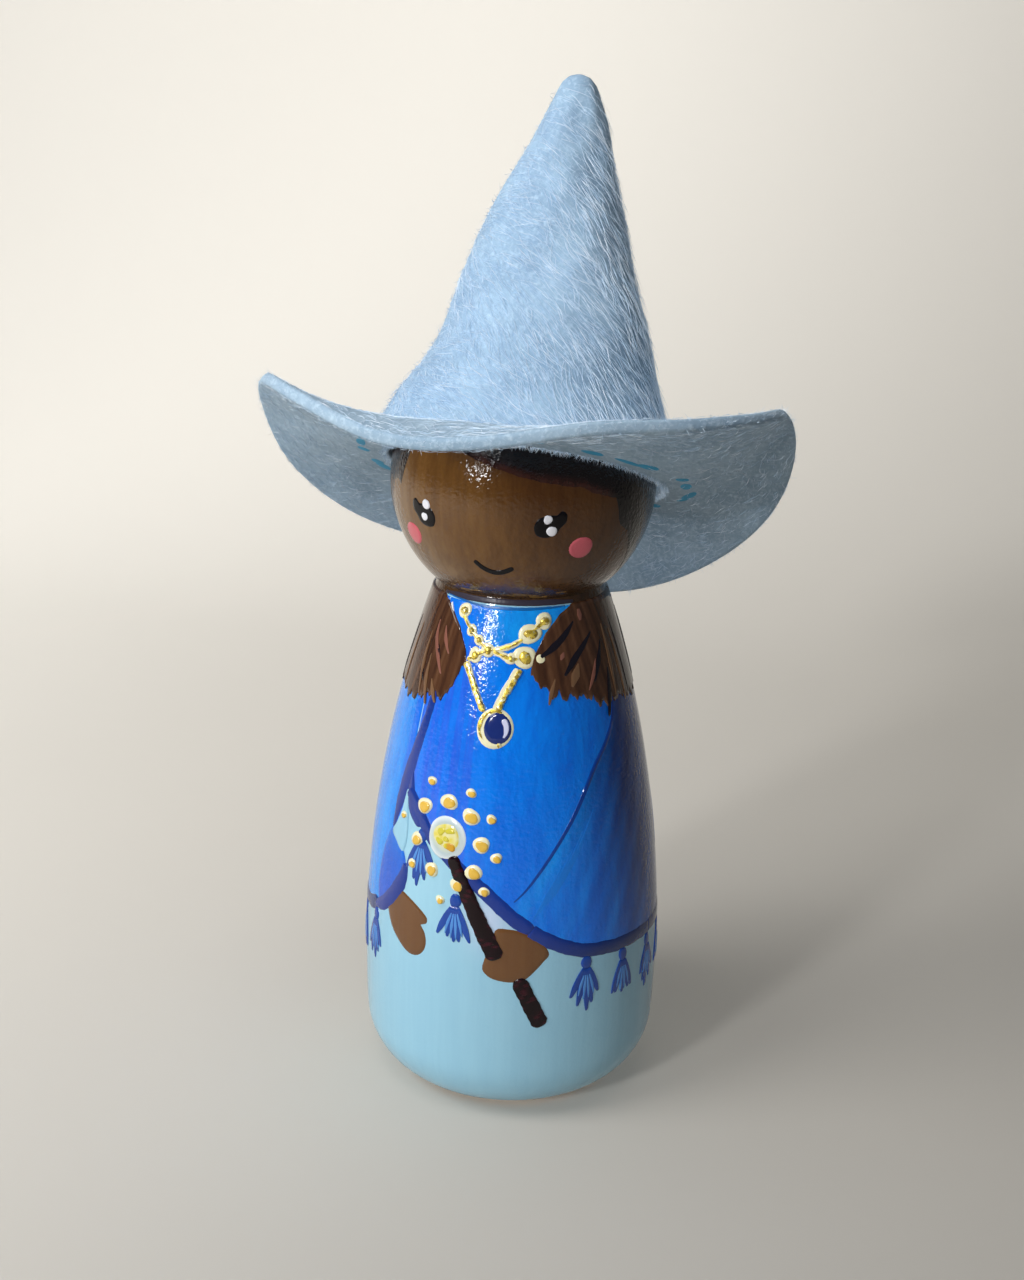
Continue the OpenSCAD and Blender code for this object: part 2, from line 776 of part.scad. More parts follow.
// Middle of the felt: share -1 is the hole's edge, 0 the cone's foot, 1 the rim
function brim_mid(turn, share) =
    let (out = max(share, 0), inner = min(share, 0),
         rise = brim_rise(turn),
         r = foot_r + inner * (foot_r - hole_r) + out * sqrt(brim_w ^ 2 - rise ^ 2))
    [r * cos(turn), r * sin(turn), brim_z + rise * out ^ brim_curl_share];
function brim_normal(turn, share) =
    let (d = 0.01,
         along = brim_mid(turn + 1, share) - brim_mid(turn - 1, share),
         outward = brim_mid(turn, share + d) - brim_mid(turn, share - d),
         n = cross(outward, along))
    n / norm(n);
function brim_point(turn, share, side) =
    share <= 0
        ? brim_mid(turn, share) + [0, 0, side * felt_t / 2]
        : brim_mid(turn, share) + side * felt_t / 2 * brim_normal(turn, share);

module hat_brim() {
    shares = [-1, 0, 0.22, 0.44, 0.65, 0.84, 1];
    sectors = 72;
    m = len(shares);
    points = [
        for (k = [0:sectors - 1])
            for (side = [1, -1])
                for (s = shares) brim_point(full_turn * k / sectors, s, side)
    ];
    function at(k, side, j) = (k % sectors) * 2 * m + side * m + j;
    faces = joined([
        for (k = [0:sectors - 1]) joined([
            for (j = [0:m - 2]) joined([
                quad(at(k, 0, j), at(k + 1, 0, j), at(k + 1, 0, j + 1), at(k, 0, j + 1)),
                quad(at(k, 1, j), at(k, 1, j + 1), at(k + 1, 1, j + 1), at(k + 1, 1, j))
            ]),
            quad(at(k, 0, 0), at(k, 1, 0), at(k + 1, 1, 0), at(k + 1, 0, 0)),
            quad(at(k, 1, m - 1), at(k, 0, m - 1), at(k + 1, 0, m - 1), at(k + 1, 1, m - 1))
        ])
    ]);
    color([0.6, 0.76, 0.86]) on_hat() polyhedron(points = points, faces = faces, convexity = 6);
}

peg();
dress_coat();
skin_coat();
hair_cap();
hair_left();
hair_right();
hair_back();
hair_strands();
shawl();
shawl_border();
shawl_folds();
collar_edge();
tassels();
hand_left();
hand_right();
wand();
wand_glow();
glow_core();
spark_rims();
sparks();
necklace_rim();
necklace_beads();
pendant_setting();
pendant_stone();
pendant_glint();
eyes();
eye_glints();
cheeks();
smile();
hat_cone();
hat_glue();
hat_brim();
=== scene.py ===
"""A turned wooden peg doll, painted with a fringed shawl and a glowing wand, in a felt hat.

Lengths are millimetres until a mesh is written, where they become metres. Bearings are
degrees round the peg from the middle of the face, positive towards +X.
"""

import logging
import math
import random
from collections.abc import Callable, Sequence
from dataclasses import dataclass, field
from enum import Enum

import bpy
import numpy as np
from mathutils import Matrix, Vector


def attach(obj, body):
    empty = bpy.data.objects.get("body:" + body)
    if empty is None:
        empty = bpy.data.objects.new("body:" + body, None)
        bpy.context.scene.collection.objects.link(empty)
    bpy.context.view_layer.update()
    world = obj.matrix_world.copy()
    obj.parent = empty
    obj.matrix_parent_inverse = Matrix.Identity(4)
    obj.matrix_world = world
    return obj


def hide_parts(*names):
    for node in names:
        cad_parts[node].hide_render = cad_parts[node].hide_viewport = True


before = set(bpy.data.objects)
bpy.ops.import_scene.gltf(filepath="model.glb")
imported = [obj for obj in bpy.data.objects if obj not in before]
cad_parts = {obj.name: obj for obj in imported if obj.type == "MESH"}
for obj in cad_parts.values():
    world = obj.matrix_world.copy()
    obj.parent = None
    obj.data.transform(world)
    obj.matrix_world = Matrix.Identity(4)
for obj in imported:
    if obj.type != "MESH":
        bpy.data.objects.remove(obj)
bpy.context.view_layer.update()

MM = 0.001
TURN = 360.0
SEED = 7
TINY = 1e-9
TONE = "tone"
VECTOR, VALUE = "NodeSocketVector", "NodeSocketFloat"
LOG = logging.getLogger("peg_doll")
logging.basicConfig(level=logging.INFO, format="%(name)s: %(message)s")

Array = np.ndarray
Piece = bpy.types.Object
Node = bpy.types.Node
Socket = bpy.types.NodeSocket
Tree = bpy.types.NodeTree
Colour = tuple[float, float, float]
Spot = tuple[float, float]
Shade = Callable[[Array, Array], tuple]

GREY: Colour = (0.5, 0.5, 0.5)
WHITE: Colour = (1.0, 1.0, 1.0)


class Part(Enum):
    """The part of the peg that a coat of paint lies on."""

    BODY = "body"
    HEAD = "head"


class Coat(float, Enum):
    """Height in millimetres of the top of each layer of paint above the wood."""

    GROUND = 0.10
    CLOTH = 0.17
    TRIM = 0.23
    OVER = 0.29
    RAISED = 0.36
    BEADED = 0.55


class Crease(float, Enum):
    """Degrees between two faces above which the edge between them stays sharp."""

    FLOOR = 40.0
    STROKE = 50.0
    FELT = 60.0
    BAND = 70.0
    FIBRE = 80.0


# Node graphs.


class Graph:
    """A node tree with short calls that add a node and join its sockets."""

    def __init__(self, tree: Tree) -> None:
        """Empties the tree and keeps it."""
        self.tree = tree
        tree.nodes.clear()

    def add(self, kind: str, **settings: object) -> Node:
        """Adds a node.

        Args:
            kind: The node's type, without the words ShaderNode.
            settings: Properties of the node.

        Returns:
            The new node.
        """
        made = self.tree.nodes.new(kind if kind.startswith("NodeGroup") else "ShaderNode" + kind)
        for key, value in settings.items():
            setattr(made, key, value)
        return made

    def put(self, node: Node, **sockets: object) -> Node:
        """Sets or joins a node's inputs.

        Args:
            node: The node.
            sockets: A value, a colour or an output for each input, which is named with _ for a
                space, or by i and its number.

        Returns:
            The node.
        """
        for key, value in sockets.items():
            numbered = key[0] == "i" and key[1:].isdigit()
            socket = node.inputs[int(key[1:]) if numbered else key.replace("_", " ")]
            if isinstance(value, Socket):
                self.tree.links.new(value, socket)
            else:
                socket.default_value = (*value, 1.0) if socket.type == "RGBA" else value
        return node

    def noise(self, where: Socket, scale: float, detail: float = 3.0,
              roughness: float = 0.55) -> Socket:
        """Adds a noise texture and returns its value."""
        made = self.add("TexNoise")
        self.put(made, Vector=where, Scale=scale, Detail=detail, Roughness=roughness)
        return made.outputs["Fac"]

    def stretch(self, where: Socket, scale: Sequence[float],
                turn: Sequence[float] = (0, 0, 0)) -> Socket:
        """Adds a Mapping node that scales and turns a vector."""
        made = self.put(self.add("Mapping"), Vector=where, Scale=scale, Rotation=turn)
        return made.outputs["Vector"]

    def ramp(self, value: Socket, low: float, high: float, to_low: float = 0.0,
             to_high: float = 1.0) -> Socket:
        """Adds a smooth Map Range and returns its result."""
        made = self.add("MapRange", interpolation_type="SMOOTHSTEP")
        self.put(made, Value=value, From_Min=low, From_Max=high, To_Min=to_low, To_Max=to_high)
        return made.outputs["Result"]

    def math(self, operation: str, a: object, b: object) -> Socket:
        """Adds a Math node and returns its value."""
        return self.put(self.add("Math", operation=operation), i0=a, i1=b).outputs[0]

    def mix(self, factor: Socket, a: object, b: object, blend: str = "MIX") -> Socket:
        """Adds a colour mix, of which a and b are colours or outputs."""
        made = self.add("Mix", data_type="RGBA", blend_type=blend)
        return self.put(made, i0=factor, i6=a, i7=b).outputs[2]

    def bump(self, height: Socket, relief: float, strength: float = 1.0) -> Socket:
        """Adds a Bump with a relief in millimetres and returns its normal."""
        made = self.add("Bump")
        return self.put(made, Strength=strength, Distance=relief * MM, Height=height).outputs[0]

    def group(self, tree: Tree, **sockets: object) -> Sequence[Socket]:
        """Adds a node group with its inputs set and returns its outputs."""
        return self.put(self.add("Group", node_tree=tree), **sockets).outputs

    def tones(self) -> Sequence[Socket]:
        """Reads the three masks of the piece's own colour attribute."""
        tone = self.add("Attribute", attribute_name=TONE).outputs["Color"]
        return self.put(self.add("SeparateColor"), Color=tone).outputs


def node_group(name: str, inputs: dict[str, str], outputs: Sequence[str],
               build: Callable[..., Sequence[Socket]]) -> Tree:
    """Makes a shader node group once.

    Args:
        name: The group's name.
        inputs: Name and socket type of each input.
        outputs: Name of each output; all of them are plain values.
        build: Fills the group, given its graph and its inputs, and returns the outputs.

    Returns:
        The node group.
    """
    if name in bpy.data.node_groups:
        return bpy.data.node_groups[name]
    tree = bpy.data.node_groups.new(name, "ShaderNodeTree")
    for label, kind in inputs.items():
        tree.interface.new_socket(name=label, in_out="INPUT", socket_type=kind)
    for label in outputs:
        tree.interface.new_socket(name=label, in_out="OUTPUT", socket_type=VALUE)
    graph = Graph(tree)
    made = build(graph, *graph.add("NodeGroupInput").outputs[:len(inputs)])
    graph.put(graph.add("NodeGroupOutput"), **dict(zip(outputs, made)))
    return tree


def brush_streaks() -> Tree:
    """Streaks that a brush leaves up and down the turned wood."""

    def build(g: Graph, where: Socket) -> tuple[Socket, Socket]:
        """Wide and fine upright streaks, from noise that is stretched along Z, and clouds."""
        wide = g.noise(g.stretch(where, (1, 1, 0.07)), 420.0, 4.0, 0.6)
        fine = g.noise(g.stretch(where, (1, 1, 0.035), (0.04, 0.05, 0)), 1500.0, 3.0, 0.6)
        both = g.math("ADD", g.math("MULTIPLY", wide, 0.6), g.math("MULTIPLY", fine, 0.4))
        return g.ramp(both, 0.36, 0.64), g.ramp(g.noise(where, 130.0, 2.0), 0.3, 0.7)

    return node_group("brush_streaks", {"Vector": VECTOR}, ("Streaks", "Cloud"), build)


def varnish_ripple() -> Tree:
    """The unevenness of a brushed gloss varnish, as a height."""

    def build(g: Graph, where: Socket, specks: Socket) -> tuple[Socket]:
        """Ripples along the brush's way, with small pits and specks between them."""
        ripple = g.noise(g.stretch(where, (1, 1, 0.22), (0.05, 0.1, 0)), 1000.0, 2.0, 0.5)
        speck = g.noise(where, 2600.0, 2.0, 0.5)
        return (g.math("ADD", ripple, g.math("MULTIPLY", speck, specks)),)

    return node_group("varnish_ripple", {"Vector": VECTOR, "Specks": VALUE}, ("Height",), build)


def felted_wool() -> Tree:
    """Matted wool: fibres that lie every way, with denser and thinner places."""

    def build(g: Graph, where: Socket) -> tuple[Socket, Socket, Socket]:
        """Three sets of long thin noise, each turned its own way, of which the highest shows."""
        sets = [g.noise(g.stretch(where, (1, 0.12, 1), turn), 1900.0, 3.0, 0.6)
                for turn in ((0.2, 0.3, 0.5), (1.1, 0.4, 1.3), (0.6, 1.2, 2.2))]
        most = g.math("MAXIMUM", g.math("MAXIMUM", sets[0], sets[1]), sets[2])
        cloud = g.ramp(g.noise(where, 210.0, 3.0), 0.34, 0.66)
        return g.ramp(most, 0.5, 0.78), cloud, most

    return node_group("felted_wool", {"Vector": VECTOR}, ("Fibres", "Cloud", "Height"), build)


def glitter_grains() -> Tree:
    """Grains of glitter that face every way."""

    def build(g: Graph, where: Socket, scale: Socket) -> Sequence[Socket]:
        """One chance value and one height for each cell."""
        cells = g.put(g.add("TexVoronoi"), Vector=where, Scale=scale)
        return g.put(g.add("SeparateColor"), Color=cells.outputs["Color"]).outputs[:2]

    return node_group("glitter_grains", {"Vector": VECTOR, "Scale": VALUE},
                      ("Chance", "Height"), build)


def turned_grain() -> Tree:
    """Rings and pores of turned birch, upright in the peg."""

    def build(g: Graph, where: Socket) -> tuple[Socket, Socket]:
        """Wavy rings round the peg's axis, crossed by short dark pores."""
        wave = g.add("TexWave", wave_type="RINGS", rings_direction="Z")
        g.put(wave, Vector=g.stretch(where, (1, 0.7, 0.12)), Scale=260.0, Distortion=3.0,
              Detail=2.0)
        pores = g.noise(g.stretch(where, (1, 1, 0.06)), 2600.0, 2.0)
        return wave.outputs["Fac"], g.ramp(pores, 0.6, 0.72)

    return node_group("turned_grain", {"Vector": VECTOR}, ("Rings", "Pores"), build)


# Finishes.


@dataclass(frozen=True)
class Finish:
    """A material, which is made on its first use."""

    name: str

    def material(self) -> bpy.types.Material:
        """Returns the material of this name, and makes it if it isn't there yet."""
        if self.name in bpy.data.materials:
            return bpy.data.materials[self.name]
        made = bpy.data.materials.new(self.name)
        made.use_nodes = True
        g = Graph(made.node_tree)
        shader = g.add("BsdfPrincipled")
        g.put(g.add("OutputMaterial"), Surface=shader.outputs[0])
        g.put(shader, **self.sockets(g, g.add("TexCoord").outputs["Object"]))
        return made

    def sockets(self, g: Graph, where: Socket) -> dict[str, object]:
        """Makes what goes into the shader; every finish has its own.

        Args:
            g: The material's graph.
            where: Object coordinates.

        Returns:
            Values, colours and outputs by the name of their input, with _ for a space.
        """
        raise NotImplementedError


@dataclass(frozen=True)
class Paint(Finish):
    """Acrylic paint under gloss varnish, laid on with a small brush.

    Three masks of the piece's own colour attribute bring in the other colours.
    """

    colour: Colour
    red_tone: Colour = GREY
    green_tone: Colour = GREY
    blue_tone: Colour = GREY
    streak: Colour = (0.6, 0.6, 0.6)
    streak_share: float = 0.35
    lift: float = 0.02
    lift_colour: Colour = (0.9, 0.9, 0.95)
    gloss: float = 0.10
    gloss_range: float = 0.06
    ripple: float = 0.035
    specks: float = 0.7
    shine: float = 0.5

    def sockets(self, g: Graph, where: Socket) -> dict[str, object]:
        """Streaked colours under a rippled varnish."""
        colour: object = self.colour
        for mask, tone in zip(g.tones(), (self.red_tone, self.green_tone, self.blue_tone)):
            colour = g.mix(mask, colour, tone)
        streaks, cloud = g.group(brush_streaks(), Vector=where)
        share = g.math("MULTIPLY", streaks, self.streak_share)
        colour = g.mix(share, colour, self.streak, "MULTIPLY")
        lift = g.math("MULTIPLY", g.ramp(cloud, 0.5, 1.0), self.lift)
        (varnish,) = g.group(varnish_ripple(), Vector=where, Specks=self.specks)
        return {
            "Base_Color": g.mix(lift, colour, self.lift_colour, "SOFT_LIGHT"),
            "Roughness": g.ramp(streaks, 0.0, 1.0, self.gloss, self.gloss + self.gloss_range),
            "Normal": g.bump(varnish, self.ripple),
            "Specular_IOR_Level": self.shine,
        }


@dataclass(frozen=True)
class GlitterPaint(Finish):
    """Clear paint full of gold glitter."""

    name: str = "gold_glitter"
    deep: Colour = (0.36, 0.24, 0.02)
    bright: Colour = (0.95, 0.72, 0.10)
    glint: Colour = (1.0, 0.95, 0.62)
    grains: float = 4200.0
    relief: float = 0.06

    def sockets(self, g: Graph, where: Socket) -> dict[str, object]:
        """Cells that are each deep, bright or a glint, under a thin clear coat."""
        chance, height = g.group(glitter_grains(), Vector=where, Scale=self.grains)
        colour = g.mix(g.ramp(chance, 0.15, 0.6), self.deep, self.bright)
        return {
            "Base_Color": g.mix(g.ramp(chance, 0.8, 0.95), colour, self.glint),
            "Metallic": g.ramp(chance, 0.4, 0.8, 0.2, 0.75),
            "Roughness": 0.3,
            "Normal": g.bump(height, self.relief),
            "Coat_Weight": 0.4,
            "Coat_Roughness": 0.1,
        }


@dataclass(frozen=True)
class Felt(Finish):
    """Pale craft felt."""

    name: str = "pale_felt"
    colour: Colour = (0.32, 0.475, 0.635)
    light: Colour = (0.43, 0.595, 0.755)
    deep: Colour = (0.255, 0.39, 0.55)
    relief: float = 0.12

    def sockets(self, g: Graph, where: Socket) -> dict[str, object]:
        """Matted fibres over clouds of a deeper blue, with a faint sheen."""
        fibres, cloud, height = g.group(felted_wool(), Vector=where)
        return {
            "Base_Color": g.mix(fibres, g.mix(cloud, self.deep, self.colour), self.light),
            "Roughness": g.ramp(fibres, 0.0, 1.0, 0.95, 0.75),
            "Normal": g.bump(height, self.relief, 0.8),
            "Sheen_Weight": 0.06,
            "Sheen_Roughness": 0.5,
            "Sheen_Tint": (0.85, 0.92, 1.0),
        }


@dataclass(frozen=True)
class Wool(Finish):
    """Single glossy fibres of the felt, each with its own shade in its colour attribute."""

    name: str = "loose_wool"
    colour: Colour = (0.40, 0.58, 0.76)
    light: Colour = (0.82, 0.89, 0.96)

    def sockets(self, g: Graph, where: Socket) -> dict[str, object]:
        """The first mask is how light a fibre is, and the second how rough."""
        shade, rough, _ = g.tones()
        dust = g.ramp(g.noise(where, 900.0), 0.3, 0.7, 0.0, 0.25)
        share = g.math("MINIMUM", g.math("ADD", shade, dust), 1.0)
        return {
            "Base_Color": g.mix(share, self.colour, self.light),
            "Roughness": g.ramp(rough, 0.0, 1.0, 0.35, 0.6),
        }


@dataclass(frozen=True)
class BareBirch(Finish):
    """Sanded birch, seen under the base."""

    name: str = "bare_birch"
    pale: Colour = (0.72, 0.52, 0.31)
    dark: Colour = (0.50, 0.31, 0.15)
    pore: Colour = (0.3, 0.17, 0.08)
    relief: float = 0.05

    def sockets(self, g: Graph, where: Socket) -> dict[str, object]:
        """Rings of pale and dark wood, with pores pressed into them."""
        rings, pores = g.group(turned_grain(), Vector=where)
        wood = g.mix(rings, self.pale, self.dark)
        return {
            "Base_Color": g.mix(g.math("MULTIPLY", pores, 0.5), wood, self.pore),
            "Roughness": g.ramp(rings, 0.0, 1.0, 0.5, 0.65),
            "Normal": g.bump(pores, self.relief, 0.3),
        }


@dataclass(frozen=True)
class HotGlue(Finish):
    """Dried clear glue with small bubbles."""

    name: str = "dried_glue"
    dull: Colour = (0.72, 0.74, 0.70)
    clear: Colour = (0.88, 0.88, 0.85)
    relief: float = 0.08

    def sockets(self, g: Graph, where: Socket) -> dict[str, object]:
        """One cloud of bubbles for colour, gloss and relief."""
        cloud = g.noise(where, 700.0, 4.0)
        return {
            "Base_Color": g.mix(g.ramp(cloud, 0.3, 0.7), self.dull, self.clear),
            "Roughness": g.ramp(cloud, 0.3, 0.7, 0.2, 0.35),
            "Normal": g.bump(cloud, self.relief, 0.5),
        }


@dataclass(frozen=True)
class FloorPaper(Finish):
    """Pale floor with painted shade, darker to the front and right as the photograph's ground is.
    """

    name: str = "floor_paper"
    # near is the painted shade at the front and right; far is the plain pale colour at the back.
    near: Colour = (0.38, 0.362, 0.33)
    far: Colour = (0.76, 0.725, 0.66)
    cloud: Colour = (0.90, 0.87, 0.80)
    glow: Colour = (1.0, 0.965, 0.89)
    glow_strength: float = 0.40
    slant: float = 1.4

    def sockets(self, g: Graph, where: Socket) -> dict[str, object]:
        """The back glows a little, for the camera and for what mirrors it or lets it through; the
        glow fading to the front and right is a painted falloff of light.
        """
        at = g.put(g.add("SeparateXYZ"), Vector=where).outputs
        back = g.math("SUBTRACT", at["Y"], g.math("MULTIPLY", at["X"], self.slant))
        # Painted shade: darker towards the front and right, where the light falls off.
        paper_and_painted_shade = g.mix(g.ramp(back, -0.16, 0.16), self.near, self.far)
        cloud = g.noise(where, 6.0, 2.0)
        ray = g.add("LightPath").outputs
        seen = g.math("MAXIMUM", ray["Is Glossy Ray"], ray["Is Transmission Ray"])
        seen = g.math("MAXIMUM", seen, ray["Is Camera Ray"])
        glow = g.ramp(back, 0.05, 0.50, 0.0, self.glow_strength)
        return {
            "Base_Color": g.mix(g.ramp(cloud, 0.3, 0.7, 0.0, 0.06), paper_and_painted_shade, self.cloud),
            "Roughness": g.ramp(cloud, 0.3, 0.7, 0.85, 0.95),
            "Emission_Color": self.glow,
            "Emission_Strength": g.math("MULTIPLY", seen, glow),
        }


# Paints that more than one piece has.

DRESS_AQUA = Paint(
    "dress_aqua", (0.30, 0.56, 0.71), red_tone=(0.56, 0.64, 0.84), green_tone=(0.28, 0.36, 0.46),
    blue_tone=(0.40, 0.70, 0.82), streak=(0.86, 0.9, 0.94), streak_share=0.5, ripple=0.02)
# The shawl's green and blue tones carry painted shade and painted highlights as well as its own
# dark and pale blues.
SHAWL_BLUE = Paint(
    "shawl_blue", (0.0, 0.205, 0.86), red_tone=(0.022, 0.150, 0.80),
    green_tone=(0.001, 0.034, 0.20), blue_tone=(0.006, 0.34, 0.92), streak=(0.55, 0.55, 0.78),
    streak_share=0.7, ripple=0.042, specks=1.4, gloss=0.08)
HAND_BROWN = Paint(
    "hand_brown", (0.150, 0.066, 0.022), red_tone=(0.11, 0.05, 0.02), streak=(0.75, 0.7, 0.68),
    streak_share=0.4)
HAIR_BROWN = Paint(
    "hair_brown", (0.088, 0.036, 0.016), red_tone=(0.150, 0.070, 0.034),
    green_tone=(0.040, 0.015, 0.008), blue_tone=(0.060, 0.036, 0.026), streak=(0.5, 0.44, 0.4),
    streak_share=0.7, ripple=0.03)
FACE_BLACK = Paint("face_black", (0.005, 0.004, 0.005), streak=(0.7, 0.7, 0.7), shine=0.2)
SHINE_WHITE = Paint("shine_white", (0.82, 0.82, 0.86), streak=(0.9, 0.9, 0.95))
CREAM = Paint("cream", (0.86, 0.82, 0.56), red_tone=(0.9, 0.9, 0.82), streak=(0.9, 0.86, 0.7),
              ripple=0.03)


# Mesh helpers.


def deselect() -> None:
    """Leaves object mode with nothing selected."""
    if bpy.context.object and bpy.context.object.mode != "OBJECT":
        bpy.ops.object.mode_set(mode="OBJECT")
    bpy.ops.object.select_all(action="DESELECT")


def pick(obj: Piece) -> None:
    """Selects this object alone and makes it the active one."""
    deselect()
    obj.select_set(True)
    bpy.context.view_layer.objects.active = obj


def added(primitive: Callable, **settings: object) -> Piece:
    """Adds a primitive while nothing else is selected.

    Args:
        primitive: The operator that adds it.
        settings: Settings of the operator.

    Returns:
        The new object.
    """
    deselect()
    primitive(**settings)
    return bpy.context.object


def points_of(obj: Piece) -> Array:
    """Returns the mesh's points as rows."""
    flat = np.empty(len(obj.data.vertices) * 3)
    obj.data.vertices.foreach_get("co", flat)
    return flat.reshape(-1, 3)


def set_points(obj: Piece, points: Array) -> None:
    """Writes the mesh's points."""
    obj.data.vertices.foreach_set("co", np.ascontiguousarray(points, float).ravel())
    obj.data.update()


def grid(columns: int, rows: int) -> tuple[Piece, Array, Array]:
    """Adds a flat grid, whose points are placed afterwards.

    Args:
        columns: Faces from left to right.
        rows: Faces from bottom to top.

    Returns:
        The grid, and the column and the row of each of its points.
    """
    obj = added(bpy.ops.mesh.primitive_grid_add, x_subdivisions=columns, y_subdivisions=rows,
                size=1)
    flat = points_of(obj) + 0.5
    return (obj, np.rint(flat[:, 0] * columns).astype(int),
            np.rint(flat[:, 1] * rows).astype(int))


def modify(obj: Piece, kind: str, **settings: object) -> None:
    """Adds a modifier and applies it.

    Args:
        obj: The piece.
        kind: The modifier's type.
        settings: Properties of the modifier.
    """
    pick(obj)
    modifier = obj.modifiers.new(kind.lower(), kind)
    for key, value in settings.items():
        setattr(modifier, key, value)
    bpy.ops.object.modifier_apply(modifier=modifier.name)


def edit_all(obj: Piece, *acts: Callable[[], object]) -> None:
    """Runs edit mode operators on the whole mesh.

    Args:
        obj: The piece.
        acts: The operators, or calls that run them.
    """
    pick(obj)
    bpy.ops.object.mode_set(mode="EDIT")
    bpy.ops.mesh.select_all(action="SELECT")
    for act in acts:
        act()
    bpy.ops.object.mode_set(mode="OBJECT")


def edit_edges(obj: Piece, chosen: Callable[[bpy.types.MeshEdge], bool],
               act: Callable[[], object]) -> None:
    """Runs one edit mode operator on some edges.

    Args:
        obj: The piece.
        chosen: Whether an edge is one of them.
        act: Runs the operator.
    """
    edit_all(obj, lambda: bpy.ops.mesh.select_mode(type="EDGE"),
             lambda: bpy.ops.mesh.select_all(action="DESELECT"))
    for edge in obj.data.edges:
        edge.select = chosen(edge)
    bpy.ops.object.mode_set(mode="EDIT")
    act()
    bpy.ops.mesh.select_mode(type="VERT")
    bpy.ops.object.mode_set(mode="OBJECT")


def merge_points(obj: Piece, distance: float = 0.002) -> None:
    """Merges points that lie together and turns the faces outwards."""
    edit_all(obj, lambda: bpy.ops.mesh.remove_doubles(threshold=distance * MM),
             lambda: bpy.ops.mesh.normals_make_consistent(inside=False))


def joined(name: str, parts: Sequence[Piece]) -> Piece:
    """Joins objects into one.

    Args:
        name: Name of the whole.
        parts: The objects, of which there may be one alone.

    Returns:
        The whole, as the first of them.
    """
    deselect()
    for part in parts:
        part.select_set(True)
    whole = bpy.context.view_layer.objects.active = parts[0]
    if len(parts) > 1:
        bpy.ops.object.join()
    whole.name = whole.data.name = name
    return whole


def paint_tone(obj: Piece, tones: Array | float = 0.0) -> None:
    """Writes the colour attribute that the paints read.

    Args:
        obj: The piece.
        tones: A row of three masks for each point, or one value for all.
    """
    layer = obj.data.color_attributes.get(TONE)
    layer = layer or obj.data.color_attributes.new(TONE, "FLOAT_COLOR", "POINT")
    rows = np.ones((len(obj.data.vertices), 4))
    rows[:, :3] = np.clip(tones, 0, 1)
    layer.data.foreach_set("color", rows.ravel())


def smooth(obj: Piece, crease: Crease) -> None:
    """Shades smooth, but for edges sharper than the crease."""
    pick(obj)
    bpy.ops.object.shade_smooth_by_angle(angle=math.radians(crease))


def lay(name: str, parts: Sequence[Piece], finish: Finish, slot: str, *nodes: str,
        body: str = "doll", crease: Crease = Crease.STROKE) -> None:
    """Makes one dressed piece and gives it all that it needs once its shape is done.

    Args:
        name: Name of the piece.
        parts: Its strokes, dabs or bands, or its one mesh.
        finish: Its finish.
        slot: The record's material slot; not used.
        nodes: The CAD nodes that it stands for.
        body: The CAD body that it rides on.
        crease: Which of its edges stay sharp.
    """
    piece = joined(name, parts)
    smooth(piece, crease)
    piece.data.materials.clear()
    piece.data.materials.append(finish.material())
    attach(piece, body)
    if nodes:
        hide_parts(*nodes)
    faces, stands_for = len(piece.data.polygons), ", ".join(nodes) or "no node"
    LOG.info("%s: %d faces, for %s", name, faces, stands_for)


def step(value: Array, low: float, high: float) -> Array:
    """Smooth step from 0 at low to 1 at high."""
    t = np.clip((np.asarray(value, float) - low) / (high - low), 0, 1)
    return t * t * (3 - 2 * t)


def humps(at: Array, sizes: Sequence[tuple[float, float, float]]) -> Array:
    """Adds up smooth humps, each of a height, a middle and a half width."""
    return sum(height * np.exp(-((at - middle) / wide) ** 2) for height, middle, wide in sizes)


def table(at: Array, pairs: Sequence[Spot]) -> Array:
    """Looks up a list of pairs with straight lines between them."""
    return np.interp(at, [p[0] for p in pairs], [p[1] for p in pairs])


def waver(at: Array, size: float, key: float) -> Array:
    """A small unevenness, as of a hand-held brush."""
    at = np.asarray(at, float)
    return size * (np.sin(0.61 * at + key) + 0.6 * np.sin(1.37 * at + 2.1 * key)
                   + 0.4 * np.sin(2.9 * at + 3.3 * key)) / 2


def red_only(mask: Array) -> tuple[Array, Array, Array]:
    """Gives the three masks of a tone, of which only the first is used."""
    return mask, 0 * mask, 0 * mask


# The peg.


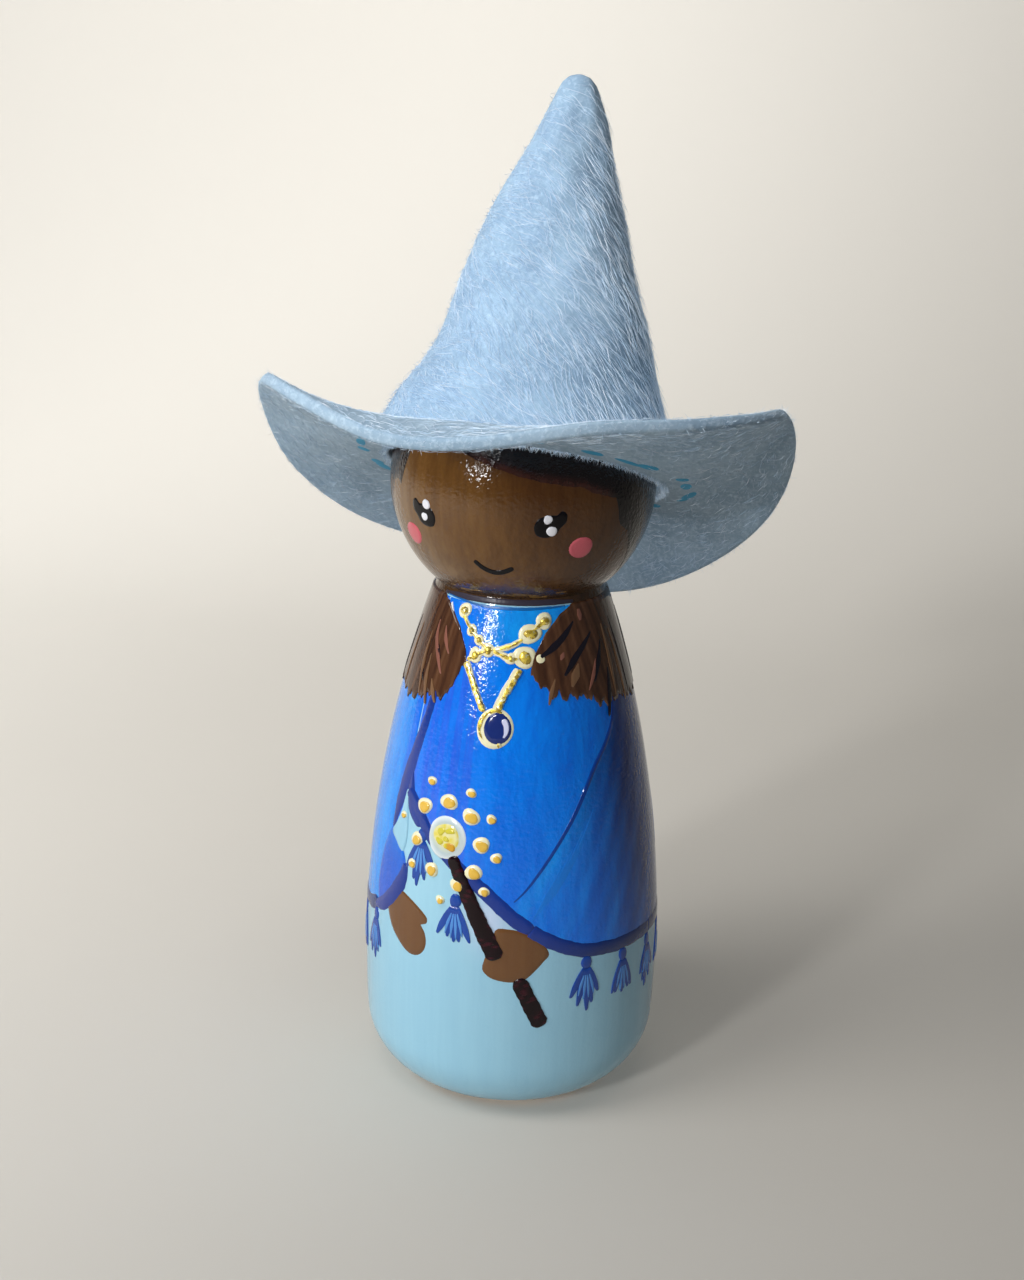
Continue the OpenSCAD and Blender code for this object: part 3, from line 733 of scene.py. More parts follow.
@dataclass
class Peg:
    """The turned wooden peg, and the way from a bearing and a height to a place on it."""

    body_r: float = 14.9
    belly_z: float = 11.1
    side_r: float = 120.0
    base_round: float = 6.2
    head_r: float = 12.45
    head_z: float = 61.05
    neck_z: float = 51.44
    collar_z: float = 50.79
    around: int = 160

    @property
    def arc_r(self) -> float:
        """Distance from the axis to the centre of the side's long curve, below zero."""
        return self.body_r - self.side_r

    def radius(self, part: Part, z: float) -> float:
        """Radius of the bare wood at a height."""
        if part is Part.HEAD:
            return math.sqrt(max(self.head_r ** 2 - (z - self.head_z) ** 2, 1.0))
        return self.arc_r + math.sqrt(self.side_r ** 2 - (z - self.belly_z) ** 2)

    def place(self, part: Part, bearing: Array, z: Array, off: Array) -> Array:
        """Finds points above the wood, in metres.

        Args:
            part: Body or head.
            bearing: Bearings in degrees.
            z: Heights on the wood.
            off: Distances off the wood.

        Returns:
            One row for each point.
        """
        turn = np.radians(bearing)
        if part is Part.HEAD:
            rise = np.arcsin(np.clip((z - self.head_z) / self.head_r, -1, 1))
            r = (self.head_r + off) * np.cos(rise)
            up = self.head_z + (self.head_r + off) * np.sin(rise)
        else:
            rise = np.arcsin((z - self.belly_z) / self.side_r)
            r = self.arc_r + (self.side_r + off) * np.cos(rise)
            up = self.belly_z + (self.side_r + off) * np.sin(rise)
        return np.stack([r * np.sin(turn), -r * np.cos(turn), up], axis=1) * MM

    def outline(self, low: float, high: float, off: float, count: int) -> list[Spot]:
        """Finds half the outline of the peg with paint on it.

        Args:
            low: Height of its lower end.
            high: Height of its upper end, which is the crown if it lies above that.
            off: Thickness of the paint.
            count: Steps from one end to the other.

        Returns:
            Radius and height of each point.
        """
        round_z = self.base_round - self.belly_z
        foot_r = self.arc_r + math.sqrt((self.side_r - self.base_round) ** 2 - round_z ** 2)
        tangent = self.belly_z + self.side_r * round_z / (self.side_r - self.base_round)
        top = self.head_z + self.head_r + off
        spots = []
        for k in range(count + 1):
            share = k / count
            if high >= top:
                share = math.sin(math.pi / 2 * k / count) ** 0.9
            z = low + (min(high, top) - low) * share
            if z < tangent:
                r = foot_r + math.sqrt(max((self.base_round + off) ** 2
                                           - (z - self.base_round) ** 2, 0))
            elif z < self.neck_z + off / 2:
                r = self.arc_r + math.sqrt((self.side_r + off) ** 2 - (z - self.belly_z) ** 2)
            else:
                r = math.sqrt(max((self.head_r + off) ** 2 - (z - self.head_z) ** 2, 0))
            spots.append((r, z))
        return spots

    def lathe(self, spots: Sequence[Spot], wall: float) -> Piece:
        """Spins an outline round the peg's axis and gives it a wall.

        Args:
            spots: Radius and height of each point, from the bottom up.
            wall: Thickness of the coat.

        Returns:
            The closed coat.
        """
        last = len(spots) - 1
        obj = added(bpy.ops.mesh.primitive_circle_add, vertices=len(spots), radius=MM,
                    fill_type="NOTHING")
        edit_edges(obj, lambda edge: set(edge.vertices) == {0, last},
                   lambda: bpy.ops.mesh.delete(type="EDGE"))
        set_points(obj, np.array([(0.0, -r, z) for r, z in spots]) * MM)
        edit_all(obj, lambda: bpy.ops.mesh.spin(steps=self.around, angle=2 * math.pi,
                                                center=(0, 0, 0), axis=(0, 0, 1)))
        merge_points(obj, 0.001)
        centre = np.array([0, 0, points_of(obj)[:, 2].mean()])
        face = obj.data.polygons[0]
        if face.normal.dot(Vector(np.array(face.center) - centre)) < 0:
            edit_all(obj, bpy.ops.mesh.flip_normals)
        modify(obj, "SOLIDIFY", thickness=wall * MM, offset=-1.0)
        return obj


PEG = Peg()


# The brush.


@dataclass(frozen=True)
class Brush:
    """Lays bands, dabs and strokes of paint on the peg, each a closed piece of its own."""

    part: Part = Part.BODY
    sink: float = 0.07
    edge: float = 0.13
    skin: float = 0.05
    tone_of: Shade | None = None
    level: float = 1e-6
    round_rings: int = 8
    fullness: float = 1.6

    def _finish(self, obj: Piece, bearing: Array, z: Array, off: Array) -> Piece:
        """Wraps the shaped points on to the peg and writes the masks of their tone.

        Args:
            obj: The piece.
            bearing: Bearing of each of its points.
            z: Height of each.
            off: Distance of each off the wood.

        Returns:
            The piece.
        """
        set_points(obj, PEG.place(self.part, bearing, z, off))
        paint_tone(obj, np.stack(self.tone_of(bearing, z), axis=1) if self.tone_of else 0.0)
        return obj

    def band(self, bearings: Array, low: Callable, high: Callable, rows: int, top: float,
             under: float, whole: bool = False) -> Piece:
        """Lays a band of paint between two edges.

        Args:
            bearings: Bearings of its columns.
            low: Height of its lower edge at some bearings.
            high: Height of its upper edge.
            rows: Rows between the two edges.
            top: Height of its surface above the wood.
            under: Height above the wood of what it lies on.
            whole: Whether its ends meet round the back.

        Returns:
            A closed shell.
        """
        columns = len(bearings) - 1
        obj, i, j = grid(columns, rows)
        bearing = bearings[i]
        start, end = low(bearing), high(bearing)
        rim = np.minimum(self.edge, (end - start) / 4)
        share = (j - 1) / (rows - 2)
        z = start + rim + (end - start - 2 * rim) * share
        z = np.where(j == 0, start, np.where(j == rows, end, z))
        outer = (j == 0) | (j == rows)
        if not whole:
            outer |= (i == 0) | (i == columns)
        self._finish(obj, bearing, z, np.where(outer, under - self.sink, top))
        if whole:
            edit_all(obj, lambda: bpy.ops.mesh.remove_doubles(threshold=0.001 * MM))
        modify(obj, "SOLIDIFY", thickness=self.skin * MM, offset=-1.0)
        return obj

    def dab(self, outline: Sequence[Spot], centre: Spot, top: float, under: float,
            dome: float = 8.0, rings: int = 10) -> Piece:
        """Lays one domed dab inside an outline.

        Args:
            outline: Bearing and height of each point round it, anticlockwise from outside.
            centre: A bearing and height from which all of the outline is in view.
            top: Height of its middle above the wood.
            under: Height above the wood of what it lies on.
            dome: How flat its top is; 2 is a half round.
            rings: Rings of the sphere that it is pressed from.

        Returns:
            A closed piece.
        """
        count = len(outline)
        obj = added(bpy.ops.mesh.primitive_uv_sphere_add, segments=count, ring_count=rings,
                    radius=1)
        ball = points_of(obj)
        share = np.hypot(ball[:, 0], ball[:, 1])
        turn = np.arctan2(ball[:, 1], ball[:, 0]) / (2 * math.pi)
        rim = np.array(outline, float)[np.rint(turn * count).astype(int) % count]
        middle = np.array(centre, float)
        spot = middle + (rim - middle) * share[:, None]
        rise = (top - under) * (1 - np.minimum(share, 1) ** dome) ** 0.5
        off = np.where(ball[:, 2] > self.level, under + rise, under - self.sink)
        off = np.where(share > 1 - self.level, under - self.sink / 2, off)
        return self._finish(obj, spot[:, 0], spot[:, 1], off)

    def round(self, centre: Spot, across: float, up: float, top: float, under: float,
              sides: int = 16, key: float = 0.0, dome: float = 4.0,
              uneven: float = 0.05) -> Piece:
        """Lays a round or oval dab whose edge wavers a little.

        Args:
            centre: Bearing and height of its middle.
            across: Its width.
            up: Its height.
            top: Height of its middle above the wood.
            under: Height above the wood of what it lies on.
            sides: Points round its edge.
            key: Chooses how its edge wavers.
            dome: How flat its top is.
            uneven: Size of the waver, as a share of its radius.

        Returns:
            A closed piece.
        """
        r = PEG.radius(self.part, centre[1])
        spots = []
        for k in range(sides):
            a = 2 * math.pi * k / sides
            reach = 1 + uneven * math.sin(2 * a + key) + uneven * 0.7 * math.sin(3 * a + 2.3 * key)
            spots.append((centre[0] + math.degrees(across / 2 * reach * math.cos(a) / r),
                          centre[1] + up / 2 * reach * math.sin(a)))
        return self.dab(spots, centre, top, under, dome, self.round_rings)

    def stroke(self, path: Sequence[Spot], widths: Sequence[float], top: float, under: float,
               sides: int = 8, rings: int = 16, key: float = 0.0, uneven: float = 0.0,
               blunt: bool = True) -> Piece:
        """Lays one stroke along a path.

        Args:
            path: Bearing and height of three or more points; a smooth line goes through them.
            widths: Its width at even steps along it.
            top: Height of its crest above the wood.
            under: Height above the wood of what it lies on.
            sides: Sides of its cross-section.
            rings: Steps along it.
            key: Chooses how its edge wavers.
            uneven: Size of that, as a share of its width.
            blunt: Whether its ends are rounded rather than drawn out.

        Returns:
            A closed piece.
        """
        obj = added(bpy.ops.mesh.primitive_uv_sphere_add, segments=sides, ring_count=rings,
                    radius=1)
        ball = points_of(obj)
        spots = np.array(path, float)
        r = PEG.radius(self.part, spots[:, 1].mean())
        fine = smooth_line(np.stack([np.radians(spots[:, 0]) * r, spots[:, 1]], axis=1))
        run = np.concatenate([[0], np.cumsum(np.hypot(*np.diff(fine, axis=0).T))])
        slope = np.gradient(fine, axis=0)
        slope /= np.maximum(np.hypot(slope[:, 0], slope[:, 1]), TINY)[:, None]
        turned = 1 - np.arccos(np.clip(ball[:, 2], -1, 1)) / math.pi
        share = 0.5 * turned + 0.25 * (1 + ball[:, 2])
        at = share * run[-1]
        middle, ahead = (np.stack([np.interp(at, run, rows[:, 0]), np.interp(at, run, rows[:, 1])],
                                  axis=1) for rows in (fine, slope))
        width = np.interp(share, np.linspace(0, 1, len(widths)), widths)
        if blunt:
            near = np.minimum(at, run[-1] - at) / np.maximum(width / 2, self.level)
            width = width * np.sqrt(1 - (1 - np.clip(near, 0, 1)) ** 2)
        width = width * (1 + uneven * np.sin(at * 3.1 + key) + uneven * np.sin(at * 7.3 + 2 * key))
        ring = np.hypot(ball[:, 0], ball[:, 1])
        pole = ring < self.level
        side = np.where(pole, 0, ball[:, 0] / np.maximum(ring, TINY))
        lift = np.where(pole, -0.5, ball[:, 1] / np.maximum(ring, TINY))
        width = np.where(pole, 0, width)
        spot = middle + np.stack([-ahead[:, 1], ahead[:, 0]], axis=1) * (side * width / 2)[:, None]
        full = np.clip(width / max(max(widths), self.level) * self.fullness, 0, 1)
        crest = under + (top - under) * np.sqrt(np.clip(lift, 0, 1)) * full
        off = np.where(lift > 0.01, crest, under - self.sink)
        return self._finish(obj, np.degrees(spot[:, 0] / r), spot[:, 1], off)


def between(a: Array, b: Array, c: Array, d: Array, t: float) -> Array:
    """Finds a place on a smooth line between b and c, with a and d as their neighbours."""
    return 0.5 * (2 * b + (c - a) * t + (2 * a - 5 * b + 4 * c - d) * t ** 2
                  + (3 * b - a - 3 * c + d) * t ** 3)


def smooth_line(spots: Array, count: int = 60) -> Array:
    """Runs a smooth line through three or more points.

    Args:
        spots: The points, one in each row.
        count: About how many points the line gets.

    Returns:
        The line's points.
    """
    ends = np.vstack([2 * spots[0] - spots[1], spots, 2 * spots[-1] - spots[-2]])
    spans = len(spots) - 1
    return np.array([
        between(*ends[i:i + 4], t) for i in range(spans)
        for t in np.linspace(0, 1, count // spans + 1, endpoint=i == spans - 1)])


def closed_line(spots: Sequence[Spot], count: int) -> list[Spot]:
    """Runs a smooth closed line through a few points.

    Args:
        spots: The points.
        count: How many points the line gets.

    Returns:
        The line's points.
    """
    loop = np.array([spots[-1], *spots, spots[0], spots[1]], float)
    out = []
    for k in range(count):
        s = k / count * len(spots)
        out.append(tuple(between(*loop[int(s):int(s) + 4], s - int(s)).tolist()))
    return out


# Painted peg.


@dataclass
class GroundCoats:
    """Bare wood, the pale dress colour and the brown skin colour."""

    dress_bottom: float = 0.6
    above_crown: float = 100.0

    def build(self) -> None:
        """Lays the two ground coats and finishes the wood."""
        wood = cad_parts["peg"]
        wood.data.materials.clear()
        wood.data.materials.append(BareBirch().material())
        LOG.info("peg: keeps its own mesh, with wood grain")
        wall = Coat.GROUND
        gown = PEG.lathe(PEG.outline(self.dress_bottom, PEG.collar_z, wall, 70), wall)
        self._tone(gown, self._dress_tone)
        lay("dress_ground", [gown], DRESS_AQUA, "dress_paint", "dress_coat")
        skin = PEG.lathe(PEG.outline(PEG.collar_z, self.above_crown, wall, 90), wall)
        self._tone(skin, self._skin_tone)
        # The skin's red and green tones are painted shade, its blue tone painted light.
        lay("skin_ground", [skin], Paint(
            "skin_brown", (0.155, 0.070, 0.015), red_tone=(0.082, 0.031, 0.006),
            green_tone=(0.042, 0.022, 0.010), blue_tone=(0.215, 0.130, 0.058),
            streak=(0.56, 0.48, 0.38), streak_share=0.75, ripple=0.04, specks=1.4, gloss=0.07,
        ), "skin_paint", "skin_coat")

    @staticmethod
    def _tone(obj: Piece, tone_of: Shade) -> None:
        """Writes the masks of a lathed coat from the bearing and height of its points."""
        at = points_of(obj) / MM
        bearing = np.degrees(np.arctan2(at[:, 0], -at[:, 1]))
        paint_tone(obj, np.stack(tone_of(bearing, at[:, 2]), axis=1))

    @staticmethod
    def _dress_tone(bearing: Array, z: Array) -> tuple:
        """A whiter place under the shawl's point, and greyer paint towards the back."""
        white = np.exp(-((bearing - 6) / 9) ** 2 - ((z - 22) / 2.6) ** 2)
        grey = 0.55 * step(np.abs(bearing - 5), 55, 110) * (0.6 + 0.4 * step(z, 2, 12))
        aqua = 0.35 * np.exp(-((bearing + 25) / 18) ** 2 - ((z - 24) / 6) ** 2)
        return white * 0.8, grey, aqua

    @staticmethod
    def _skin_tone(bearing: Array, z: Array) -> tuple:
        """Painted light and shade: redder and darker towards the top and right, a painted shadow
        below the jaw, and paler at the lower left where the light falls.
        """
        # Painted shade: darker and redder towards the top and right.
        red = step(bearing * 0.06 + (z - 58) * 0.22, -0.6, 2.2)
        # Painted shadow below the jaw.
        chin_shadow = 0.75 * step(-z, -53.6, -51.9)
        # Painted light: paler at the lower left.
        pale = 0.55 * step(-bearing * 0.05 - (z - 56) * 0.16, 0.2, 2.0) * step(z, 52.5, 54)
        return red, chin_shadow, pale


@dataclass
class Shawl:
    """The blue shawl with its border, folds and tassels."""

    hem_z: float = 16.4
    apex: float = -36.5
    border_w: float = 1.55
    open_tassels: tuple[float, ...] = (-24.0, -6.8)
    tassel_l: float = 5.3
    hem: tuple[Spot, ...] = (
        (-57.9, 0.045), (-46, 0.082), (-37, 0.21), (-36.5, 0.455), (-28, 0.41), (-20, 0.345),
        (-3, 0.26), (5, 0.22), (14, 0.16), (23, 0.11), (32, 0.07), (42, 0.04), (57, 0.025),
        (90, 0.01), (180, 0.0), (270, 0.02), (302, 0.045), (314, 0.082), (323, 0.21),
    )
    row_ends: Spot = (44.0, 310.0)
    fold_lines: tuple[tuple[Sequence[Spot], Sequence[float]], ...] = (
        (((69, 42.2), (65.3, 39.7), (58, 37.6), (50, 35.6), (39.6, 31.7), (27.5, 27.5),
          (20, 25.0), (14.5, 23.6)), (0.3, 0.62, 0.62, 0.5, 0.42, 0.34, 0.14)),
        (((116, 40.0), (110, 32.0), (100, 24.0)), (0.1, 0.4, 0.1)),
        (((150, 38.0), (152, 31.0), (150, 24.0)), (0.1, 0.35, 0.1)),
        (((-120, 40.0), (-114, 32.0), (-104, 24.0)), (0.1, 0.4, 0.1)),
    )

    def hem_at(self, bearing: Array) -> Array:
        """Height of the shawl's lower edge."""
        share = table(bearing, self.hem)
        return self.hem_z + (PEG.collar_z - self.hem_z) * share + waver(bearing, 0.05, 1.0)

    @staticmethod
    def fold_at(bearing: Array) -> Array:
        """Height of the fold that hangs from the right arm."""
        return table(bearing, [(8, 20.8), (14.5, 23.5), (27.5, 27.5), (39.6, 31.7), (50, 35.6),
                               (58, 37.6), (65.3, 39.7), (70, 43)])

    def tone(self, bearing: Array, z: Array) -> tuple:
        """Ultramarine at the left; deeper blue beyond the fold and at the sides, partly painted
        shade; paler upright streaks; painted highlights below the fold and on the shoulders, and a
        painted reflection on the left flap.
        """
        b = np.where(bearing > 180, bearing - TURN, bearing)
        edge = waver(b * 2.2, 2.0, 0.4)
        left = step(-(b + edge), -6, 9) * (1 - 0.7 * step(z, 46, 49))
        blotch = step(np.sin(b * 0.9 + 0.6) + 0.7 * np.sin(b * 2.3 + 0.03 * z), -0.5, 0.7)
        left *= 0.35 + 0.65 * blotch
        below = self.fold_at(np.clip(b, 8, 70)) - z
        beyond = step(below, -0.15, 0.5) * step(b, 12, 18)
        # The shawl turns dark towards the sides and back.
        far = step(np.abs(b), 70, 92)
        # Painted shade beyond the fold, over the shawl's own dark blue, deepest towards the upper
        # right.
        depth = np.clip(0.022 * (b - 35) + 0.030 * (z - 26), 0.0, 0.95)
        # Pale diagonal streaks of painted highlight.
        highlight_rays = np.sin(0.62 * (b - 2.1 * z)) + 0.7 * np.sin(0.29 * (b - 1.7 * z) + 1.3)
        navy_and_shade = np.maximum(beyond * np.clip(depth - 0.07 * highlight_rays, 0, 1), 0.85 * far)
        # Painted highlight just below the fold and along the pale streaks.
        ridge = 0.55 * np.exp(-below / 3.0) + 0.2 * step(highlight_rays, 0.0, 1.5)
        # Painted highlight on the top of the shoulders.
        shoulder_highlight = step(z, 46.2, 48.6) * step(b, -12, 6) * (1 - step(b, 60, 75))
        pale = np.maximum(beyond * (1 - depth) * ridge, 0.85 * shoulder_highlight)
        # Painted reflection on the left flap.
        pale = np.maximum(pale, 0.75 * step(-b, 38, 44) * (1 - step(-b, 70, 84)))
        return left, navy_and_shade, pale

    def build(self) -> None:
        """Paints the whole shawl."""
        columns = np.unique(np.concatenate([
            np.linspace(self.apex, 180, 280), np.linspace(180, TURN - 37, 120)]))
        columns = np.append(columns, TURN + self.apex)
        cloth = Brush(tone_of=self.tone).band(
            columns, self.hem_at, lambda b: np.full_like(b, PEG.collar_z - 0.1), 44,
            Coat.CLOTH, Coat.GROUND)
        lay("shawl_blue", [cloth], SHAWL_BLUE, "shawl_paint", "shawl", crease=Crease.BAND)
        self._notch()
        self._border()
        self._folds()
        self._tassels()

    def _notch(self) -> None:
        """The dress shows where the two flaps part."""
        notch = closed_line([
            (-35.8, 32.6), (-37.6, 30.4), (-40.0, 28.9), (-42.6, 27.7), (-39.0, 27.0),
            (-36.0, 26.4), (-33.6, 26.4), (-32.4, 28.2), (-34.0, 30.6)], 32)
        piece = Brush().dab(notch, (-36.6, 28.6), Coat.TRIM - 0.02, Coat.CLOTH, 14)
        lay("dress_notch", [piece], DRESS_AQUA, "dress_paint")
        flap = closed_line([
            (-43.0, 28.2), (-38.0, 27.4), (-35.0, 26.8), (-32.6, 26.0), (-31.2, 24.9),
            (-32.0, 23.6), (-35.0, 21.9), (-40.7, 20.3), (-47.0, 19.2), (-50.0, 21.5),
            (-48.0, 25.5)], 36)
        piece = Brush(tone_of=lambda b, z: (
            np.clip(1.05 - 0.1 * (z - 20), 0.4, 1), 0.25 + 0 * b, 0.3 * step(z, 25, 28),
        )).dab(flap, (-40.0, 24.0), Coat.TRIM - 0.03, Coat.CLOTH, 14)
        lay("shawl_flap_corner", [piece], SHAWL_BLUE, "shawl_paint")

    def _border(self) -> None:
        """The dark border along the hem and up the two flaps."""
        # Painted shade and light: the border is darker towards the right and paler towards the
        # left.
        brush = Brush(tone_of=lambda b, z: (step(b, 20, 60), 0.6 * step(-b, 20, 60), 0 * b))
        top, under = Coat.TRIM, Coat.CLOTH
        pieces = []
        ends = np.linspace(self.apex + 1.0, TURN - 48.5, 7)
        last = len(ends) - 2
        for k in range(last + 1):
            b = np.linspace(ends[k] - (0.6 if k else 0), ends[k + 1] + (0.6 if k < last else 0), 30)
            z = self.hem_at(b) + self.border_w / 2 - 0.1
            pieces.append(brush.stroke(list(zip(b, z)), [self.border_w] * 3, top, under, 8, 44,
                                       key=k, uneven=0.03, blunt=k in (0, last)))
        pieces.append(brush.stroke(
            [(-29.4, 42.6), (-31.6, 39.6), (-34.6, 36.6), (-37.4, 33.8), (-40.0, 31.0),
             (-42.2, 27.9)],
            [1.15, 1.2, 1.45, 1.75, 1.35, 0.3], top, under, 8, 30, key=2.0, uneven=0.03))
        pieces.append(brush.stroke(
            [(-34.6, 34.4), (-33.0, 32.0), (-30.0, 30.6), (-25.6, 29.4)], [0.4, 1.2, 1.5, 0.9],
            top - 0.01, under, 8, 20, key=3.0))
        pieces.append(brush.stroke(
            [(-31.4, 25.4), (-33.2, 23.6), (-38.0, 21.6), (-45.0, 19.9), (-52.0, 19.1)],
            [0.6, 1.7, 1.8, 1.6, 0.9], top + 0.01, under, 8, 26, key=5.0, uneven=0.03,
            blunt=False))
        lay("shawl_border_navy", pieces, Paint(
            "border_navy", (0.006, 0.036, 0.26), red_tone=(0.002, 0.026, 0.16),
            green_tone=(0.028, 0.050, 0.30), streak=(0.7, 0.7, 0.8), streak_share=0.5, gloss=0.13,
        ), "border_paint", "shawl_border")

    def _folds(self) -> None:
        """Soft dark lines where the cloth hangs from the arms, and pale strokes below them that are
        painted highlights.
        """
        top, under = Coat.TRIM - 0.02, Coat.CLOTH
        brush = Brush()
        lay("shawl_fold_lines", [
            brush.stroke(path, widths, top, under, 8, 30, key=float(k), blunt=False)
            for k, (path, widths) in enumerate(self.fold_lines)
        ], Paint("fold_navy", (0.001, 0.045, 0.30), streak=(0.7, 0.7, 0.8)),
            "shawl_paint", "shawl_folds")
        # Painted highlights: pale strokes fanning out below the fold.
        highlight_rays = [[(49 - k * 5.0, 32.2 - k * 1.7), (39 - k * 4.2, 27.6 - k * 1.3),
                 (30 - k * 2.6, 24.0 - k * 0.7)] for k in range(4)]
        lay("shawl_pale_strokes", [
            brush.stroke(path, [0.1, 0.5, 0.1], top - 0.015, under, 8, 20, blunt=False)
            for path in highlight_rays
        ], Paint("highlight_stroke", (0.002, 0.19, 0.72), streak=(0.6, 0.66, 0.8)), "shawl_paint")

    def _tassels(self) -> None:
        """A row of small painted tassels, each a knot with strands fanned out below it."""
        first, last = self.row_ends
        row = [first + (last - first) * k / 15 for k in range(16)]
        brush = Brush()
        dark, pale = [], []
        top, under = Coat.TRIM, Coat.GROUND
        for n, bearing in enumerate([*self.open_tassels, *row]):
            z0 = float(self.hem_at(np.array([bearing]))[0]) - (2.2 if n == 1 else 0.2)
            per_mm = math.degrees(1 / PEG.radius(Part.BODY, z0))
            dark.append(brush.round((bearing, z0 - 0.45), 1.2, 1.5, top, under, 12, key=n))
            knot_z = z0 - 0.9
            for k, lean in enumerate((-1.0, -0.52, -0.05, 0.45, 0.95)):
                sway = 0.12 * math.sin(5.0 * n + 2.0 * k)
                reach = 1.0 - 0.22 * abs(lean) + 0.1 * math.sin(3.0 * n + k)
                reach *= self.tassel_l
                dark.append(brush.stroke([
                    (bearing + per_mm * 0.22 * lean, knot_z),
                    (bearing + per_mm * 0.85 * (lean + sway), knot_z - 0.45 * (reach - 0.9)),
                    (bearing + per_mm * 1.62 * (lean + sway), z0 - reach),
                ], [0.35, 0.75, 0.75, 0.2], top, under, 6, 10, blunt=False))
            for lean in (-0.75, -0.25, 0.2, 0.7):
                reach = self.tassel_l * (0.86 - 0.15 * abs(lean))
                pale.append(brush.stroke([
                    (bearing + per_mm * 0.3 * lean, z0 - 1.5),
                    (bearing + per_mm * 0.9 * lean, knot_z - 0.5 * reach),
                    (bearing + per_mm * 1.2 * lean, z0 - reach),
                ], [0.12, 0.34, 0.1], top + 0.04, under + 0.05, 6, 8, blunt=False))
        lay("tassel_strands", dark,
            Paint("tassel_navy", (0.008, 0.060, 0.34), streak=(0.6, 0.6, 0.75)),
            "tassel_paint", "tassels")
        lay("tassel_lights", pale,
            Paint("tassel_pale", (0.075, 0.26, 0.66), streak=(0.8, 0.85, 0.9)), "tassel_paint")


